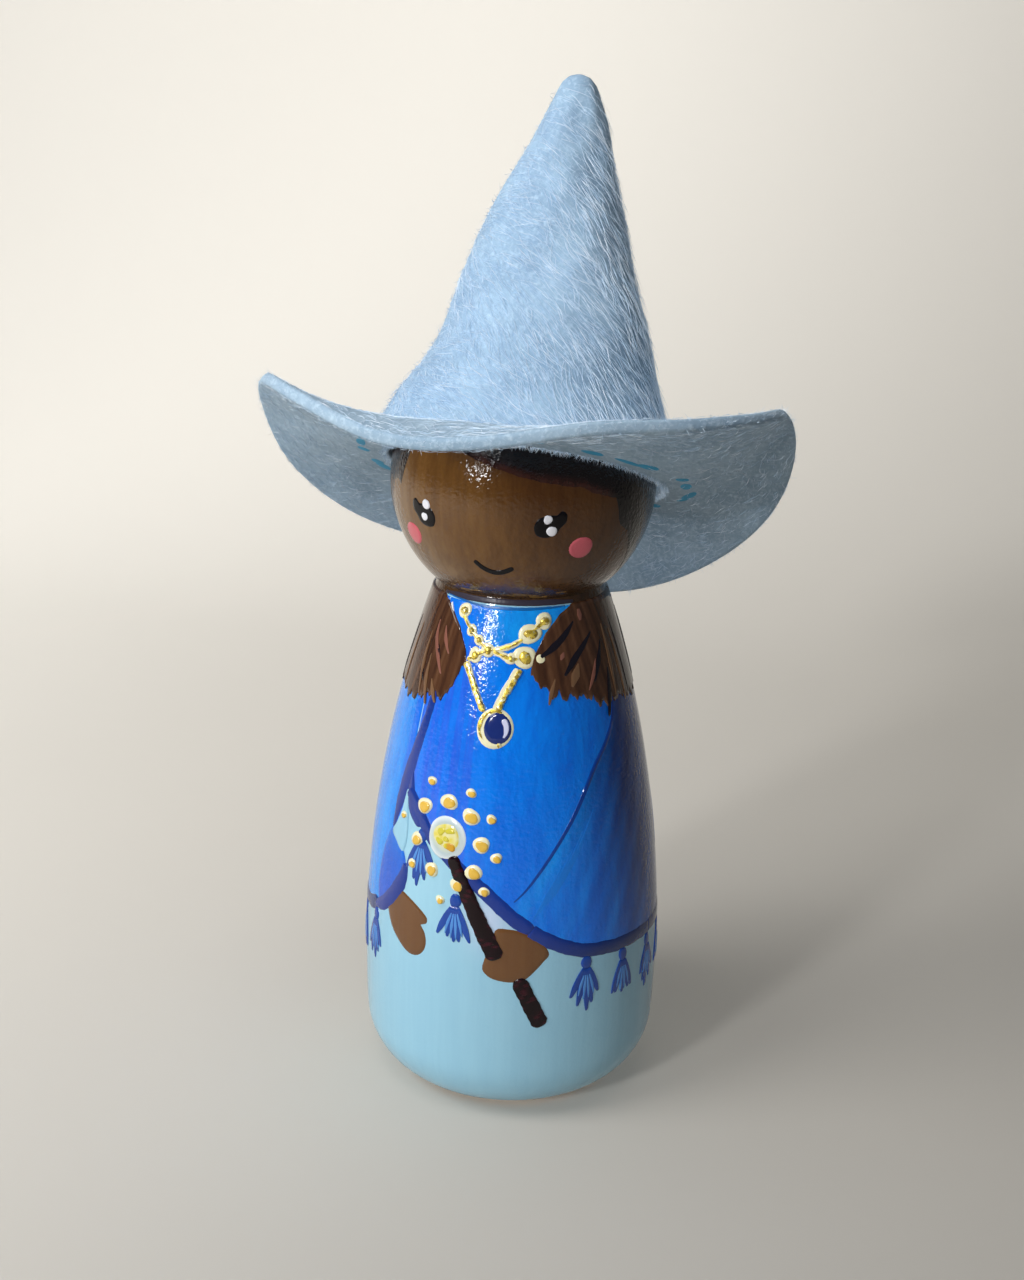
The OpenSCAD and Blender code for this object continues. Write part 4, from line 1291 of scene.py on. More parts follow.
@dataclass
class Hair:
    """Dark hair, swept over the brow under the hat and hanging in two ragged falls."""

    chest: float = 4.0
    end_z: float = 41.0
    brow: tuple[Spot, ...] = (
        (-180, 51.9), (-76, 51.9), (-72, 55.0), (-68, 59.6), (-62, 61.6), (-56.8, 61.2),
        (-51, 61.6), (-47.5, 61.2), (-44.4, 63.2), (-40, 66.2), (-30, 68.6), (-18, 67.2),
        (-13.6, 65.2), (-6, 64.6), (2.9, 64.0), (12, 63.45), (21, 63.0), (31.7, 62.6), (39.7, 62.4),
        (44, 61.9), (50, 61.5), (56.2, 61.2), (58, 60.0), (59.3, 58.7), (63, 58.3), (66.2, 57.9),
        (70, 56.6), (76, 54.6), (80, 53.0), (85, 51.9), (180, 51.9),
    )
    front: tuple[Spot, ...] = ((17, 0.4), (19, 0.56), (26, 0.76), (36, 0.92), (46, 1.0), (180, 1.0))
    column_w: float = 0.8
    ragged: tuple[Spot, ...] = (
        (-180, 41.1), (-95, 41.4), (-72, 41.8), (-62, 41.2), (-46, 41.3), (-37, 41.8), (-26, 42.4),
        (-24, 43.9), (-17.5, 45.6), (16, 45.0), (17.5, 44.7), (23, 43.9), (29, 43.3), (40, 42.7),
        (49, 42.3), (58, 41.7), (79, 41.5), (95, 41.4), (180, 41.1),
    )

    def build(self) -> None:
        """Paints the hair."""
        self._cap()
        self._falls()
        self._streaks()

    def _cap(self) -> None:
        """Hair on the head, from the hairline up."""
        brush = Brush(Part.HEAD, sink=0.03, edge=0.4, tone_of=self._cap_tone)
        columns = np.unique(np.concatenate([
            np.linspace(-180, 180, 181), np.linspace(-76, 86, 150)]))
        crown = PEG.head_z + PEG.head_r
        cap = brush.band(columns, lambda b: table(b, self.brow) + waver(b, 0.05, 3.0),
                         lambda b: np.full_like(b, crown - 0.004), 40, Coat.CLOTH - 0.03,
                         Coat.GROUND, whole=True)
        # Its grey brown green tone is also the painted sheen on the right of the head.
        lay("hair_on_head", [cap], Paint(
            "hair_dark", (0.007, 0.004, 0.004), red_tone=(0.050, 0.014, 0.009),
            green_tone=(0.085, 0.060, 0.046), blue_tone=(0.030, 0.018, 0.014),
            streak=(0.4, 0.36, 0.34), streak_share=0.8, gloss=0.07, ripple=0.06, specks=1.3,
        ), "hair_paint", "hair_cap", crease=Crease.BAND)

    def _cap_tone(self, bearing: Array, z: Array) -> tuple:
        """Reddish brown along the hairline, and greyer towards the two sides: grey brown strands at
        the left and a painted sheen at the right.
        """
        above = z - table(bearing, self.brow)
        red = 1 - step(above, 0.35, 1.15)
        red *= 0.9 * step(bearing, -12, -2) * (1 - step(bearing, 50, 57))
        streaks = np.sin(bearing * 1.7 + 0.4 * np.sin(z)) + 0.6 * np.sin(bearing * 0.73 + 1)
        streaks = step(streaks, -0.9, 1.2)
        left = (0.15 + 0.85 * streaks) * step(-bearing, 38, 46) * (1 - step(-bearing, 92, 120))
        # Painted sheen: grey streaks on the right side of the head.
        right = 0.35 * streaks * step(bearing, 64, 80) * (1 - step(bearing, 120, 150))
        return red, np.maximum(left, right), 0.5 * step(np.abs(bearing), 95, 130)

    def away(self, bearing: Array) -> Array:
        """Degrees from the middle of the chest, from -180 to 180."""
        return (bearing - self.chest + 180) % TURN - 180

    def top_at(self, bearing: Array) -> Array:
        """Upper edge of the falls."""
        share = table(np.abs(self.away(bearing)), self.front)
        return self.end_z + (PEG.collar_z - self.end_z) * share - 0.02

    def low_at(self, bearing: Array) -> Array:
        """Ragged lower edge of the falls."""
        saw = np.abs((bearing * 0.155) % 1 - 0.5) * 2
        small = np.abs((bearing * 0.37 + 0.3) % 1 - 0.5) * 2
        deep = 0.5 + 0.5 * np.sin(np.radians(bearing * 13))
        ends = table(self.away(bearing), self.ragged)
        return ends + 0.25 - (0.35 + 0.75 * deep) * saw ** 0.7 - 0.35 * small

    def _fall_tone(self, bearing: Array, z: Array) -> tuple:
        """Locks of lighter and darker brown that fan out from the neck."""
        away = self.away(bearing)
        fan = away / (1 + 0.028 * (PEG.collar_z - z))
        lock = np.sin(fan * 0.85) + 0.6 * np.sin(fan * 1.93 + 1.0)
        light, dark = 0.65 * step(lock, 0.3, 1.2), 0.6 * step(-lock, 0.2, 1.1)
        return light, dark, 0.7 * step(np.abs(away), 62, 88)

    def _falls(self) -> None:
        """The left, right and back of the hair on the body."""
        brush = Brush(tone_of=self._fall_tone)
        for side, start, end in (("left", -96, -17), ("right", 17, 96),
                                 ("back", 96.2, TURN - 96.2)):
            columns = np.linspace(self.chest + start, self.chest + end,
                                  int((end - start) / self.column_w) + 1)
            fall = brush.band(columns, self.low_at, self.top_at, 22, Coat.OVER, Coat.CLOTH)
            lay(f"hair_fall_{side}", [fall], HAIR_BROWN, "hair_paint", f"hair_{side}",
                crease=Crease.BAND)

    def _streaks(self) -> None:
        """Single strands of black, light brown and pinkish brown over the falls."""
        brush = Brush()
        top, under = Coat.RAISED, Coat.OVER
        sets = {
            "black": [
                ([(48.8, 49.3), (41.5, 48.1), (34, 47.1), (25.8, 46.2)], [0.1, 0.6, 0.75, 0.25]),
                ([(60.4, 48.1), (53, 47.0), (46, 45.9), (38.6, 44.4)], [0.1, 0.55, 0.75, 0.2]),
                ([(66.4, 47.2), (62.5, 45.6), (56.4, 43.4)], [0.1, 0.6, 0.15]),
                ([(68, 44.6), (66, 42.4), (63.2, 40.0)], [0.15, 0.6, 0.25]),
                ([(-39.4, 46.9), (-35.5, 46.2), (-30.4, 45.0)], [0.1, 0.6, 0.1]),
                ([(-45.6, 44.4), (-43.5, 43.7), (-40.0, 42.6)], [0.1, 0.5, 0.1]),
                ([(-66, 48.0), (-70, 44.0), (-72, 41.0)], [0.1, 0.45, 0.1]),
                ([(80, 49.0), (84, 44.5), (85, 41.0)], [0.1, 0.45, 0.1]),
            ],
            "rose": [
                ([(-32.2, 48.2), (-29.5, 46.9), (-25.2, 45.7)], [0.1, 0.5, 0.15]),
                ([(-38.6, 48.6), (-37.4, 46.9), (-33, 45.4), (-27.6, 43.7)], [0.1, 0.5, 0.5, 0.15]),
                ([(53.2, 50.2), (53.4, 49.7), (53.4, 49.1)], [0.3, 0.55, 0.2]),
                ([(39.8, 46.6), (38.8, 46.3), (37.5, 45.9)], [0.1, 0.5, 0.1]),
                ([(60, 45.6), (56, 44.0), (52, 42.8)], [0.08, 0.45, 0.1]),
            ],
            "tan": [
                ([(-43, 47.4), (-43.5, 44.4), (-41, 41.2)], [0.08, 0.5, 0.15]),
                ([(-38.5, 45.4), (-37.6, 42.8), (-34.6, 40.6)], [0.08, 0.55, 0.2]),
                ([(-57, 47.6), (-60, 44.0), (-60, 41.0)], [0.08, 0.45, 0.12]),
                ([(-33.6, 43.2), (-31.2, 42.2), (-28.2, 41.1)], [0.1, 0.55, 0.2]),
                ([(34, 44.4), (31.5, 43.2), (30, 42.0)], [0.1, 0.45, 0.15]),
                ([(48, 45.5), (45.4, 44.5), (42.6, 43.4)], [0.1, 1.0, 0.2]),
                ([(70, 48.6), (71, 45.2), (71, 41.4)], [0.1, 0.5, 0.15]),
                ([(77, 48.0), (79, 44.6), (80, 40.8)], [0.1, 0.5, 0.15]),
            ],
        }
        for k in range(22):
            kind = ("black", "tan", "rose", "tan")[k % 4]
            b = self.chest + 100 + k * 7.3
            path = [(b * 0.98 + 3.6, 49.0 - k % 3), (b, 45.4), (b + 0.5, 41.6 - 0.4 * (k % 2))]
            sets[kind].append((path, [0.08, 0.45, 0.12]))
        colours = {"black": (0.008, 0.006, 0.012), "rose": (0.25, 0.10, 0.07),
                   "tan": (0.19, 0.10, 0.05)}
        for n, (kind, strokes) in enumerate(sets.items()):
            lay(f"hair_strands_{kind}", [
                brush.stroke(path, widths, top + 0.01 * n, under, 6, 14, key=float(i), blunt=False)
                for i, (path, widths) in enumerate(strokes)
            ], Paint(f"strand_{kind}", colours[kind]), "strand_paint",
                *(["hair_strands"] if n == 0 else []))


@dataclass
class Face:
    """Bright eyes, round cheeks and a small smile."""

    eye_z: float = 59.3
    eye_bearing: float = 28.4
    eye_shape: tuple[Spot, ...] = (
        (6.8, 1.05), (4.6, 1.32), (2.7, 0.95), (0.4, 0.95), (-2.2, 0.85), (-5.1, 0.6),
        (-6.8, -0.15), (-5.4, -0.95), (-1.2, -1.15), (2.6, -0.85), (4.6, -0.2), (6.9, 0.35),
    )
    glints: tuple[tuple[Spot, float], ...] = (
        ((25.1, 59.85), 0.82), ((26.9, 58.8), 0.98), ((-28.6, 60.25), 0.92), ((-29.9, 59.1), 0.8),
    )
    chips: tuple[tuple[float, float, float, float], ...] = (
        (-20, 51.95, 1.7, 0.34), (-12, 52.1, 0.9, 0.22), (8, 51.9, 1.2, 0.26),
        (16, 52.0, 2.0, 0.34), (24, 51.8, 1.3, 0.4), (30, 51.75, 0.7, 0.28),
        (-30, 52.2, 0.8, 0.2), (40, 52.2, 1.0, 0.2),
    )

    def build(self) -> None:
        """Paints the face and the chipped edge of the neck."""
        brush = Brush(Part.HEAD)
        top, under = Coat.CLOTH, Coat.GROUND
        eyes = []
        for side in (-1, 1):
            b = side * self.eye_bearing - 2.2
            outline = closed_line(
                [(b + side * across, self.eye_z + up) for across, up in self.eye_shape], 36)
            if side < 0:
                outline.reverse()
            eyes.append(brush.dab(outline, (b - side * 0.5, self.eye_z - 0.1), top, under))
        lay("eye_blacks", eyes, FACE_BLACK, "black_paint", "eyes")
        lay("eye_shines", [
            brush.round(spot, size, size * 1.02, top + 0.07, top - 0.02, 14, key=spot[0])
            for spot, size in self.glints
        ], SHINE_WHITE, "white_paint", "eye_glints")
        lay("cheek_rounds", [
            brush.round((side * 41.1, 57.05), 2.4, 2.15, top, under, 22, key=side + 1.2, dome=10,
                        uneven=0.02)
            for side in (-1, 1)
        ], Paint("cheek_pink", (0.58, 0.105, 0.135), streak=(0.85, 0.7, 0.75), streak_share=0.3),
            "cheek_paint", "cheeks")
        lay("smile_line", [brush.stroke(
            [(-7.2, 55.62), (-3.4, 54.94), (1.6, 54.55), (6.6, 54.66), (11.4, 55.12)],
            [0.5, 0.56, 0.58, 0.56, 0.54], top, under, 8, 30)], FACE_BLACK, "black_paint", "smile")
        self._neck()

    def _neck(self) -> None:
        """A violet grey shadow on the neck, the teal collar line, a white painted highlight on the
        collar, and chips of bare gold brown.
        """
        body, cloth = Brush(), Coat.CLOTH
        shade = body.band(np.linspace(-44, 52, 97), lambda b: 50.72 + 0 * b,
                          lambda b: 51.36 - 0.25 * step(np.abs(b - 4), 30, 48), 6, cloth,
                          Coat.GROUND)
        lay("neck_shade", [shade], Paint(
            "neck_violet", (0.040, 0.034, 0.052), streak=(0.55, 0.45, 0.45), gloss=0.3, shine=0.25,
        ), "skin_paint", crease=Crease.BAND)
        line = body.stroke(
            [(-40, 50.85), (-25, 50.7), (-9, 50.5), (8, 50.46), (26, 50.52), (45, 50.62)],
            [0.1, 0.2, 0.26, 0.3, 0.3, 0.12], Coat.TRIM, cloth, 8, 40, uneven=0.06)
        lay("collar_teal_line", [line], Paint(
            "collar_teal", (0.002, 0.12, 0.40), streak=(0.6, 0.7, 0.7), gloss=0.3,
        ), "collar_paint", "collar_edge")
        # A painted highlight: a white streak along the collar's edge by the hair.
        streak = body.stroke([(-33.3, 50.3), (-31.0, 49.6), (-27.6, 48.75)], [0.15, 0.42, 0.1],
                             Coat.OVER, cloth, 6, 14, blunt=False)
        lay("collar_white_streak", [streak], SHINE_WHITE, "white_paint")
        head, wood = Brush(Part.HEAD), Coat.GROUND
        lay("neck_chips", [
            head.round((b, z), across, up, wood + 0.03, wood, 12, key=float(k), uneven=0.18)
            for k, (b, z, across, up) in enumerate(self.chips)
        ], Paint("chip_gold", (0.19, 0.105, 0.022), streak=(0.4, 0.35, 0.3), streak_share=0.8),
            "skin_paint")


@dataclass
class Jewels:
    """The necklace of glitter beads with cream edges, and its blue pendant."""

    pendant: Spot = (4.8, 39.9)
    beads: tuple[tuple[float, float, float, float], ...] = (
        (-21.0, 49.85, 1.4, 1.45), (-13.6, 48.25, 1.0, 1.2), (-8.1, 47.5, 0.95, 1.1),
        (-2.3, 46.75, 1.35, 1.35), (-9.2, 46.15, 1.3, 1.45), (29.6, 49.45, 1.6, 1.5),
        (21.0, 48.35, 2.25, 1.75), (10.8, 46.15, 1.15, 1.1), (18.0, 46.3, 2.1, 2.15),
        (26.4, 46.15, 1.0, 1.0),
    )
    links: tuple[tuple[tuple[Spot, ...], float], ...] = (
        (((-20.4, 49.4), (-17.2, 48.8), (-13.6, 48.3)), 0.42),
        (((-13.6, 48.3), (-8.1, 47.5), (-2.3, 46.8)), 0.5),
        (((-13.5, 45.6), (-9.2, 46.1), (-2.3, 46.7), (4.0, 46.9), (11.0, 47.3), (17.0, 47.9)),
         0.62),
        (((1.0, 46.7), (6.0, 46.4), (10.8, 46.1), (16.0, 46.2)), 0.72),
        (((22.0, 48.5), (26.0, 49.0), (29.6, 49.4)), 0.7),
    )
    bars: tuple[tuple[Spot, ...], ...] = (
        ((-14.0, 45.5), (-9.4, 44.1), (-5.4, 42.7), (-1.4, 41.3)),
        ((14.9, 45.3), (10.4, 43.9), (6.9, 42.7), (4.3, 41.5)),
    )

    def build(self) -> None:
        """Paints the necklace and the pendant."""
        brush = Brush()
        under, middle, top = Coat.CLOTH, Coat.OVER + 0.03, Coat.BEADED
        cream, gold = [], []
        last = len(self.beads) - 1
        for k, (b, z, across, up) in enumerate(self.beads):
            cream.append(brush.round((b, z), across, up, middle, under, 18, key=float(k), dome=5,
                                     uneven=0.05 if k == last else 0.06))
            if k < last:
                gold.append(brush.round((b + 0.3, z - 0.03), across * 0.55, up * 0.55, top,
                                        middle - 0.04, 14, key=k + 2.0, dome=2.4, uneven=0.1))
        for k, (path, width) in enumerate(self.links):
            cream.append(brush.stroke(path, [width] * 3, middle - 0.02, under, 8, 24,
                                      key=float(k), uneven=0.08))
            gold.append(brush.stroke(path, [width * 0.42] * 3, middle + 0.1, middle - 0.05, 6, 22,
                                     key=float(k), uneven=0.2))
        for k, path in enumerate(self.bars):
            cream.append(brush.stroke(path, [0.85, 0.75, 0.72, 0.7], middle, under, 8, 24,
                                      key=float(k), uneven=0.05))
            inner = [(b + (1.35 if k else 0.25), z - 0.05) for b, z in path]
            gold.append(brush.stroke(inner, [0.5, 0.55, 0.5], top - 0.06, middle - 0.04, 8, 24,
                                     key=k + 1.0, uneven=0.1))
        lay("necklace_cream", cream, CREAM, "cream_paint", "necklace_rim")
        lay("necklace_glitter", gold, GlitterPaint(), "gold_paint", "necklace_beads")
        self._pendant(brush, middle, top)

    def _arc(self, centre: Spot, across: float, up: float, angles: Sequence[float]) -> list[Spot]:
        """Finds points on an arc round a place on the pendant.

        Args:
            centre: Bearing and height of the arc's centre.
            across: Its radius sideways.
            up: Its radius upwards.
            angles: Angle of each point in degrees, anticlockwise from the right.

        Returns:
            Bearing and height of each point.
        """
        per_mm = math.degrees(1 / PEG.radius(Part.BODY, self.pendant[1]))
        return [(centre[0] + per_mm * across * math.cos(math.radians(a)),
                 centre[1] + up * math.sin(math.radians(a))) for a in angles]

    def _pendant(self, brush: Brush, middle: float, top: float) -> None:
        """Lays a domed dark blue stone with a painted shine, in a cream and gold setting.

        Args:
            brush: The brush for the body.
            middle: Height of the setting above the wood.
            top: Height of the necklace's beads.
        """
        under, (b, z) = Coat.CLOTH, self.pendant
        lay("pendant_setting_cream", [
            brush.round(self.pendant, 3.45, 3.8, middle, under, 28, key=0.5, dome=9, uneven=0.02),
        ], CREAM, "gold_paint", "pendant_setting")
        lay("pendant_setting_gold", [
            brush.stroke(self._arc(self.pendant, 1.4, 1.58, np.linspace(start, end, 7)),
                         [0.12, 0.42, 0.36, 0.12], middle + 0.09, middle - 0.04, 6, 20, uneven=0.2)
            for start, end in ((62, 225), (282, 300))
        ], GlitterPaint(), "gold_paint")
        lay("pendant_gem", [brush.round((b + 1.3, z + 0.02), 2.6, 3.0, top - 0.1, middle - 0.05,
                                        26, key=1.0, dome=3.5, uneven=0.01)],
            Paint("gem_blue", (0.010, 0.026, 0.16), streak=(0.7, 0.7, 0.9), gloss=0.06,
                  ripple=0.006), "stone_paint", "pendant_stone")
        lay("pendant_shine", [
            brush.stroke(self._arc((b + 1.3, z), 0.82, 1.1, (56, 18, -18, -46)),
                         [0.6, 0.62, 0.5, 0.2], top - 0.05, top - 0.16, 8, 20, uneven=0.04),
        ], Paint("shine_lilac", (0.62, 0.64, 0.84), streak=(0.8, 0.8, 0.95)), "white_paint",
            "pendant_glint")


@dataclass
class WandAndHands:
    """Two mitten hands, the wand that one of them holds, and the glow at its tip."""

    glow: Spot = (-12.5, 29.2)
    sparks: tuple[tuple[float, float, float], ...] = (
        (-12.0, 2.4, 1.65), (-0.4, 3.4, 1.65), (9.8, 2.4, 1.65), (14.7, -0.1, 1.6),
        (12.2, -2.8, 1.6), (6.1, -4.3, 1.35), (-5.5, -3.4, 1.4), (-14.1, -1.0, 1.4),
        (-9.8, 4.9, 0.95), (9.1, 4.6, 0.95), (18.2, 2.4, 0.95), (20.8, -1.2, 1.05),
        (16.7, -4.5, 1.0), (-0.7, -6.1, 0.85), (-15.2, -3.5, 1.0), (-23.2, 0.7, 0.75),
    )
    sink: float = 0.05
    blots: tuple[tuple[float, float, float, float], ...] = (
        (-2.2, 0.55, 0.85, 0.8), (1.6, 0.7, 0.9, 0.6), (2.0, -0.75, 1.1, 0.9),
        (-2.6, -0.4, 0.8, 0.7), (0.2, -0.1, 0.7, 0.5),
    )
    left_hand: tuple[Spot, ...] = (
        (-34.4, 22.6), (-28.6, 22.3), (-22.4, 21.6), (-18.6, 20.9), (-18.6, 20.3), (-21.2, 20.0),
        (-19.2, 19.3), (-18.3, 18.3), (-19.4, 17.3), (-22.5, 16.6), (-27.0, 16.5), (-32.3, 17.2),
        (-38.0, 18.5), (-41.2, 20.4), (-39.4, 22.0),
    )
    right_hand: tuple[Spot, ...] = (
        (4.3, 17.3), (5.6, 16.4), (9.2, 15.9), (15.2, 15.7), (20.3, 16.0), (24.5, 17.0),
        (27.2, 17.8), (29.3, 18.5), (27.4, 19.5), (24.0, 20.3), (19.0, 20.95), (13.8, 21.2),
        (9.0, 21.1), (7.4, 19.6),
    )

    def build(self) -> None:
        """Paints the hands, the wand and the glow."""
        brush, under = Brush(), Coat.GROUND
        left = closed_line(self.left_hand, 44)[::-1]
        lay("left_mitten", [brush.dab(left, (-28.0, 19.2), Coat.CLOTH, under, 12)],
            HAND_BROWN, "skin_paint", "hand_left")
        right = closed_line(self.right_hand, 44)
        lay("right_mitten", [brush.dab(right, (16.5, 18.4), Coat.CLOTH, under, 12)],
            HAND_BROWN, "skin_paint", "hand_right")
        flecked = Brush(tone_of=self._flecks)
        lay("wand_strokes", [
            flecked.stroke([(-9.6, 27.7), (-3.6, 24.8), (3.6, 21.2), (10.0, 18.0)],
                           [1.3, 1.45, 1.6, 1.75, 1.75], Coat.OVER + 0.05, under + 0.02, 10, 40,
                           key=1.0, uneven=0.035),
            flecked.stroke([(17.5, 16.2), (21.8, 13.8), (26.9, 11.0)], [1.65, 1.65, 1.7, 1.7],
                           Coat.TRIM + 0.03, under, 10, 34, key=4.0, uneven=0.03),
        ], Paint("wand_maroon", (0.007, 0.001, 0.003), red_tone=(0.09, 0.008, 0.022),
                 streak=(0.5, 0.4, 0.4), streak_share=0.6, ripple=0.03, specks=0.6, shine=0.3),
            "wand_paint", "wand")
        self._glow()
        self._sparks()

    @staticmethod
    def _flecks(bearing: Array, z: Array) -> tuple:
        """Flecks of red glitter in the wand's paint."""
        chance = np.sin(bearing * 2.1 + z * 1.3)
        chance = chance * np.sin(z * 5.3 + bearing * 0.7 + 1.4 * np.sin(z * 1.9))
        return red_only(0.5 * step(chance, 0.5, 0.9))

    def _halo_tone(self, bearing: Array, z: Array) -> tuple:
        """Bluer towards the rim, with a brighter ring just inside it."""
        across = np.radians(bearing - self.glow[0]) * PEG.radius(Part.BODY, self.glow[1])
        r = np.hypot(across, z - self.glow[1])
        return step(r, 1.15, 1.6), 0.9 * humps(r, [(1, 1.93, 0.13)]), 0 * r

    @staticmethod
    def _heart_tone(bearing: Array, z: Array) -> tuple:
        """Blotches of a deeper yellow."""
        blotch = np.sin(bearing * 1.1 + z * 2.3) * np.sin(z * 2.9 - bearing * 0.8)
        return red_only(step(blotch, -0.1, 0.5))

    def _blot_tone(self, bearing: Array, z: Array) -> tuple:
        """Orange at the lower right."""
        return red_only(step(bearing - self.glow[0], 0.5, 1.2) * step(self.glow[1] - z, 0.1, 0.4))

    def _glow(self) -> None:
        """A pale halo with a blotchy yellow heart."""
        under, top = Coat.CLOTH, Coat.OVER
        b, z = self.glow
        halo = Brush(sink=self.sink, tone_of=self._halo_tone)
        lay("glow_halo", [halo.round(self.glow, 4.0, 4.25, top, under, 36, key=0.4, dome=6,
                                     uneven=0.012)],
            Paint("halo_pale", (0.66, 0.68, 0.46), red_tone=(0.42, 0.54, 0.62),
                  green_tone=(0.78, 0.84, 0.86), streak=(0.9, 0.9, 0.85)),
            "glow_paint", "wand_glow")
        heart = Brush(sink=self.sink, tone_of=self._heart_tone)
        lay("glow_heart", [heart.round((b + 0.2, z + 0.15), 2.6, 2.7, top + 0.05, top - 0.02, 24,
                                       key=2.0, dome=6, uneven=0.09)],
            Paint("heart_yellow", (0.74, 0.70, 0.36), red_tone=(0.72, 0.62, 0.08),
                  streak=(0.95, 0.9, 0.7)), "glow_core_paint", "glow_core")
        blot = Brush(sink=self.sink, tone_of=self._blot_tone)
        lay("glow_blots", [
            blot.round((b + right, z + above), across, up, top + 0.11, top + 0.03, 14,
                       key=float(k), uneven=0.16)
            for k, (right, above, across, up) in enumerate(self.blots)
        ], Paint("blot_gold", (0.62, 0.56, 0.05), red_tone=(0.62, 0.33, 0.02),
                 streak=(0.9, 0.8, 0.5)), "glow_core_paint")

    def _sparks(self) -> None:
        """Round sparks about the glow, each a cream dot with a gold one on it."""
        brush, lift = Brush(sink=self.sink), Coat.RAISED
        rims, hearts = [], []
        for k, (right, above, size) in enumerate(self.sparks):
            b, z = self.glow[0] + right, self.glow[1] + above
            rims.append(brush.round((b, z), size * 1.12, size * 0.98, lift, Coat.GROUND, 16,
                                    key=1.7 * k, uneven=0.07))
            hearts.append(brush.round((b + 0.35, z - 0.07), size * 0.72, size * 0.68, lift + 0.07,
                                      lift - 0.03, 14, key=0.9 * k, uneven=0.09))
        lay("spark_rims_cream", rims,
            Paint("spark_cream", (0.84, 0.80, 0.56), streak=(0.9, 0.88, 0.7)),
            "cream_paint", "spark_rims")
        lay("spark_hearts_gold", hearts,
            Paint("spark_gold", (0.74, 0.47, 0.07), streak=(0.9, 0.8, 0.5)),
            "gold_paint", "sparks")


# The felt hat.


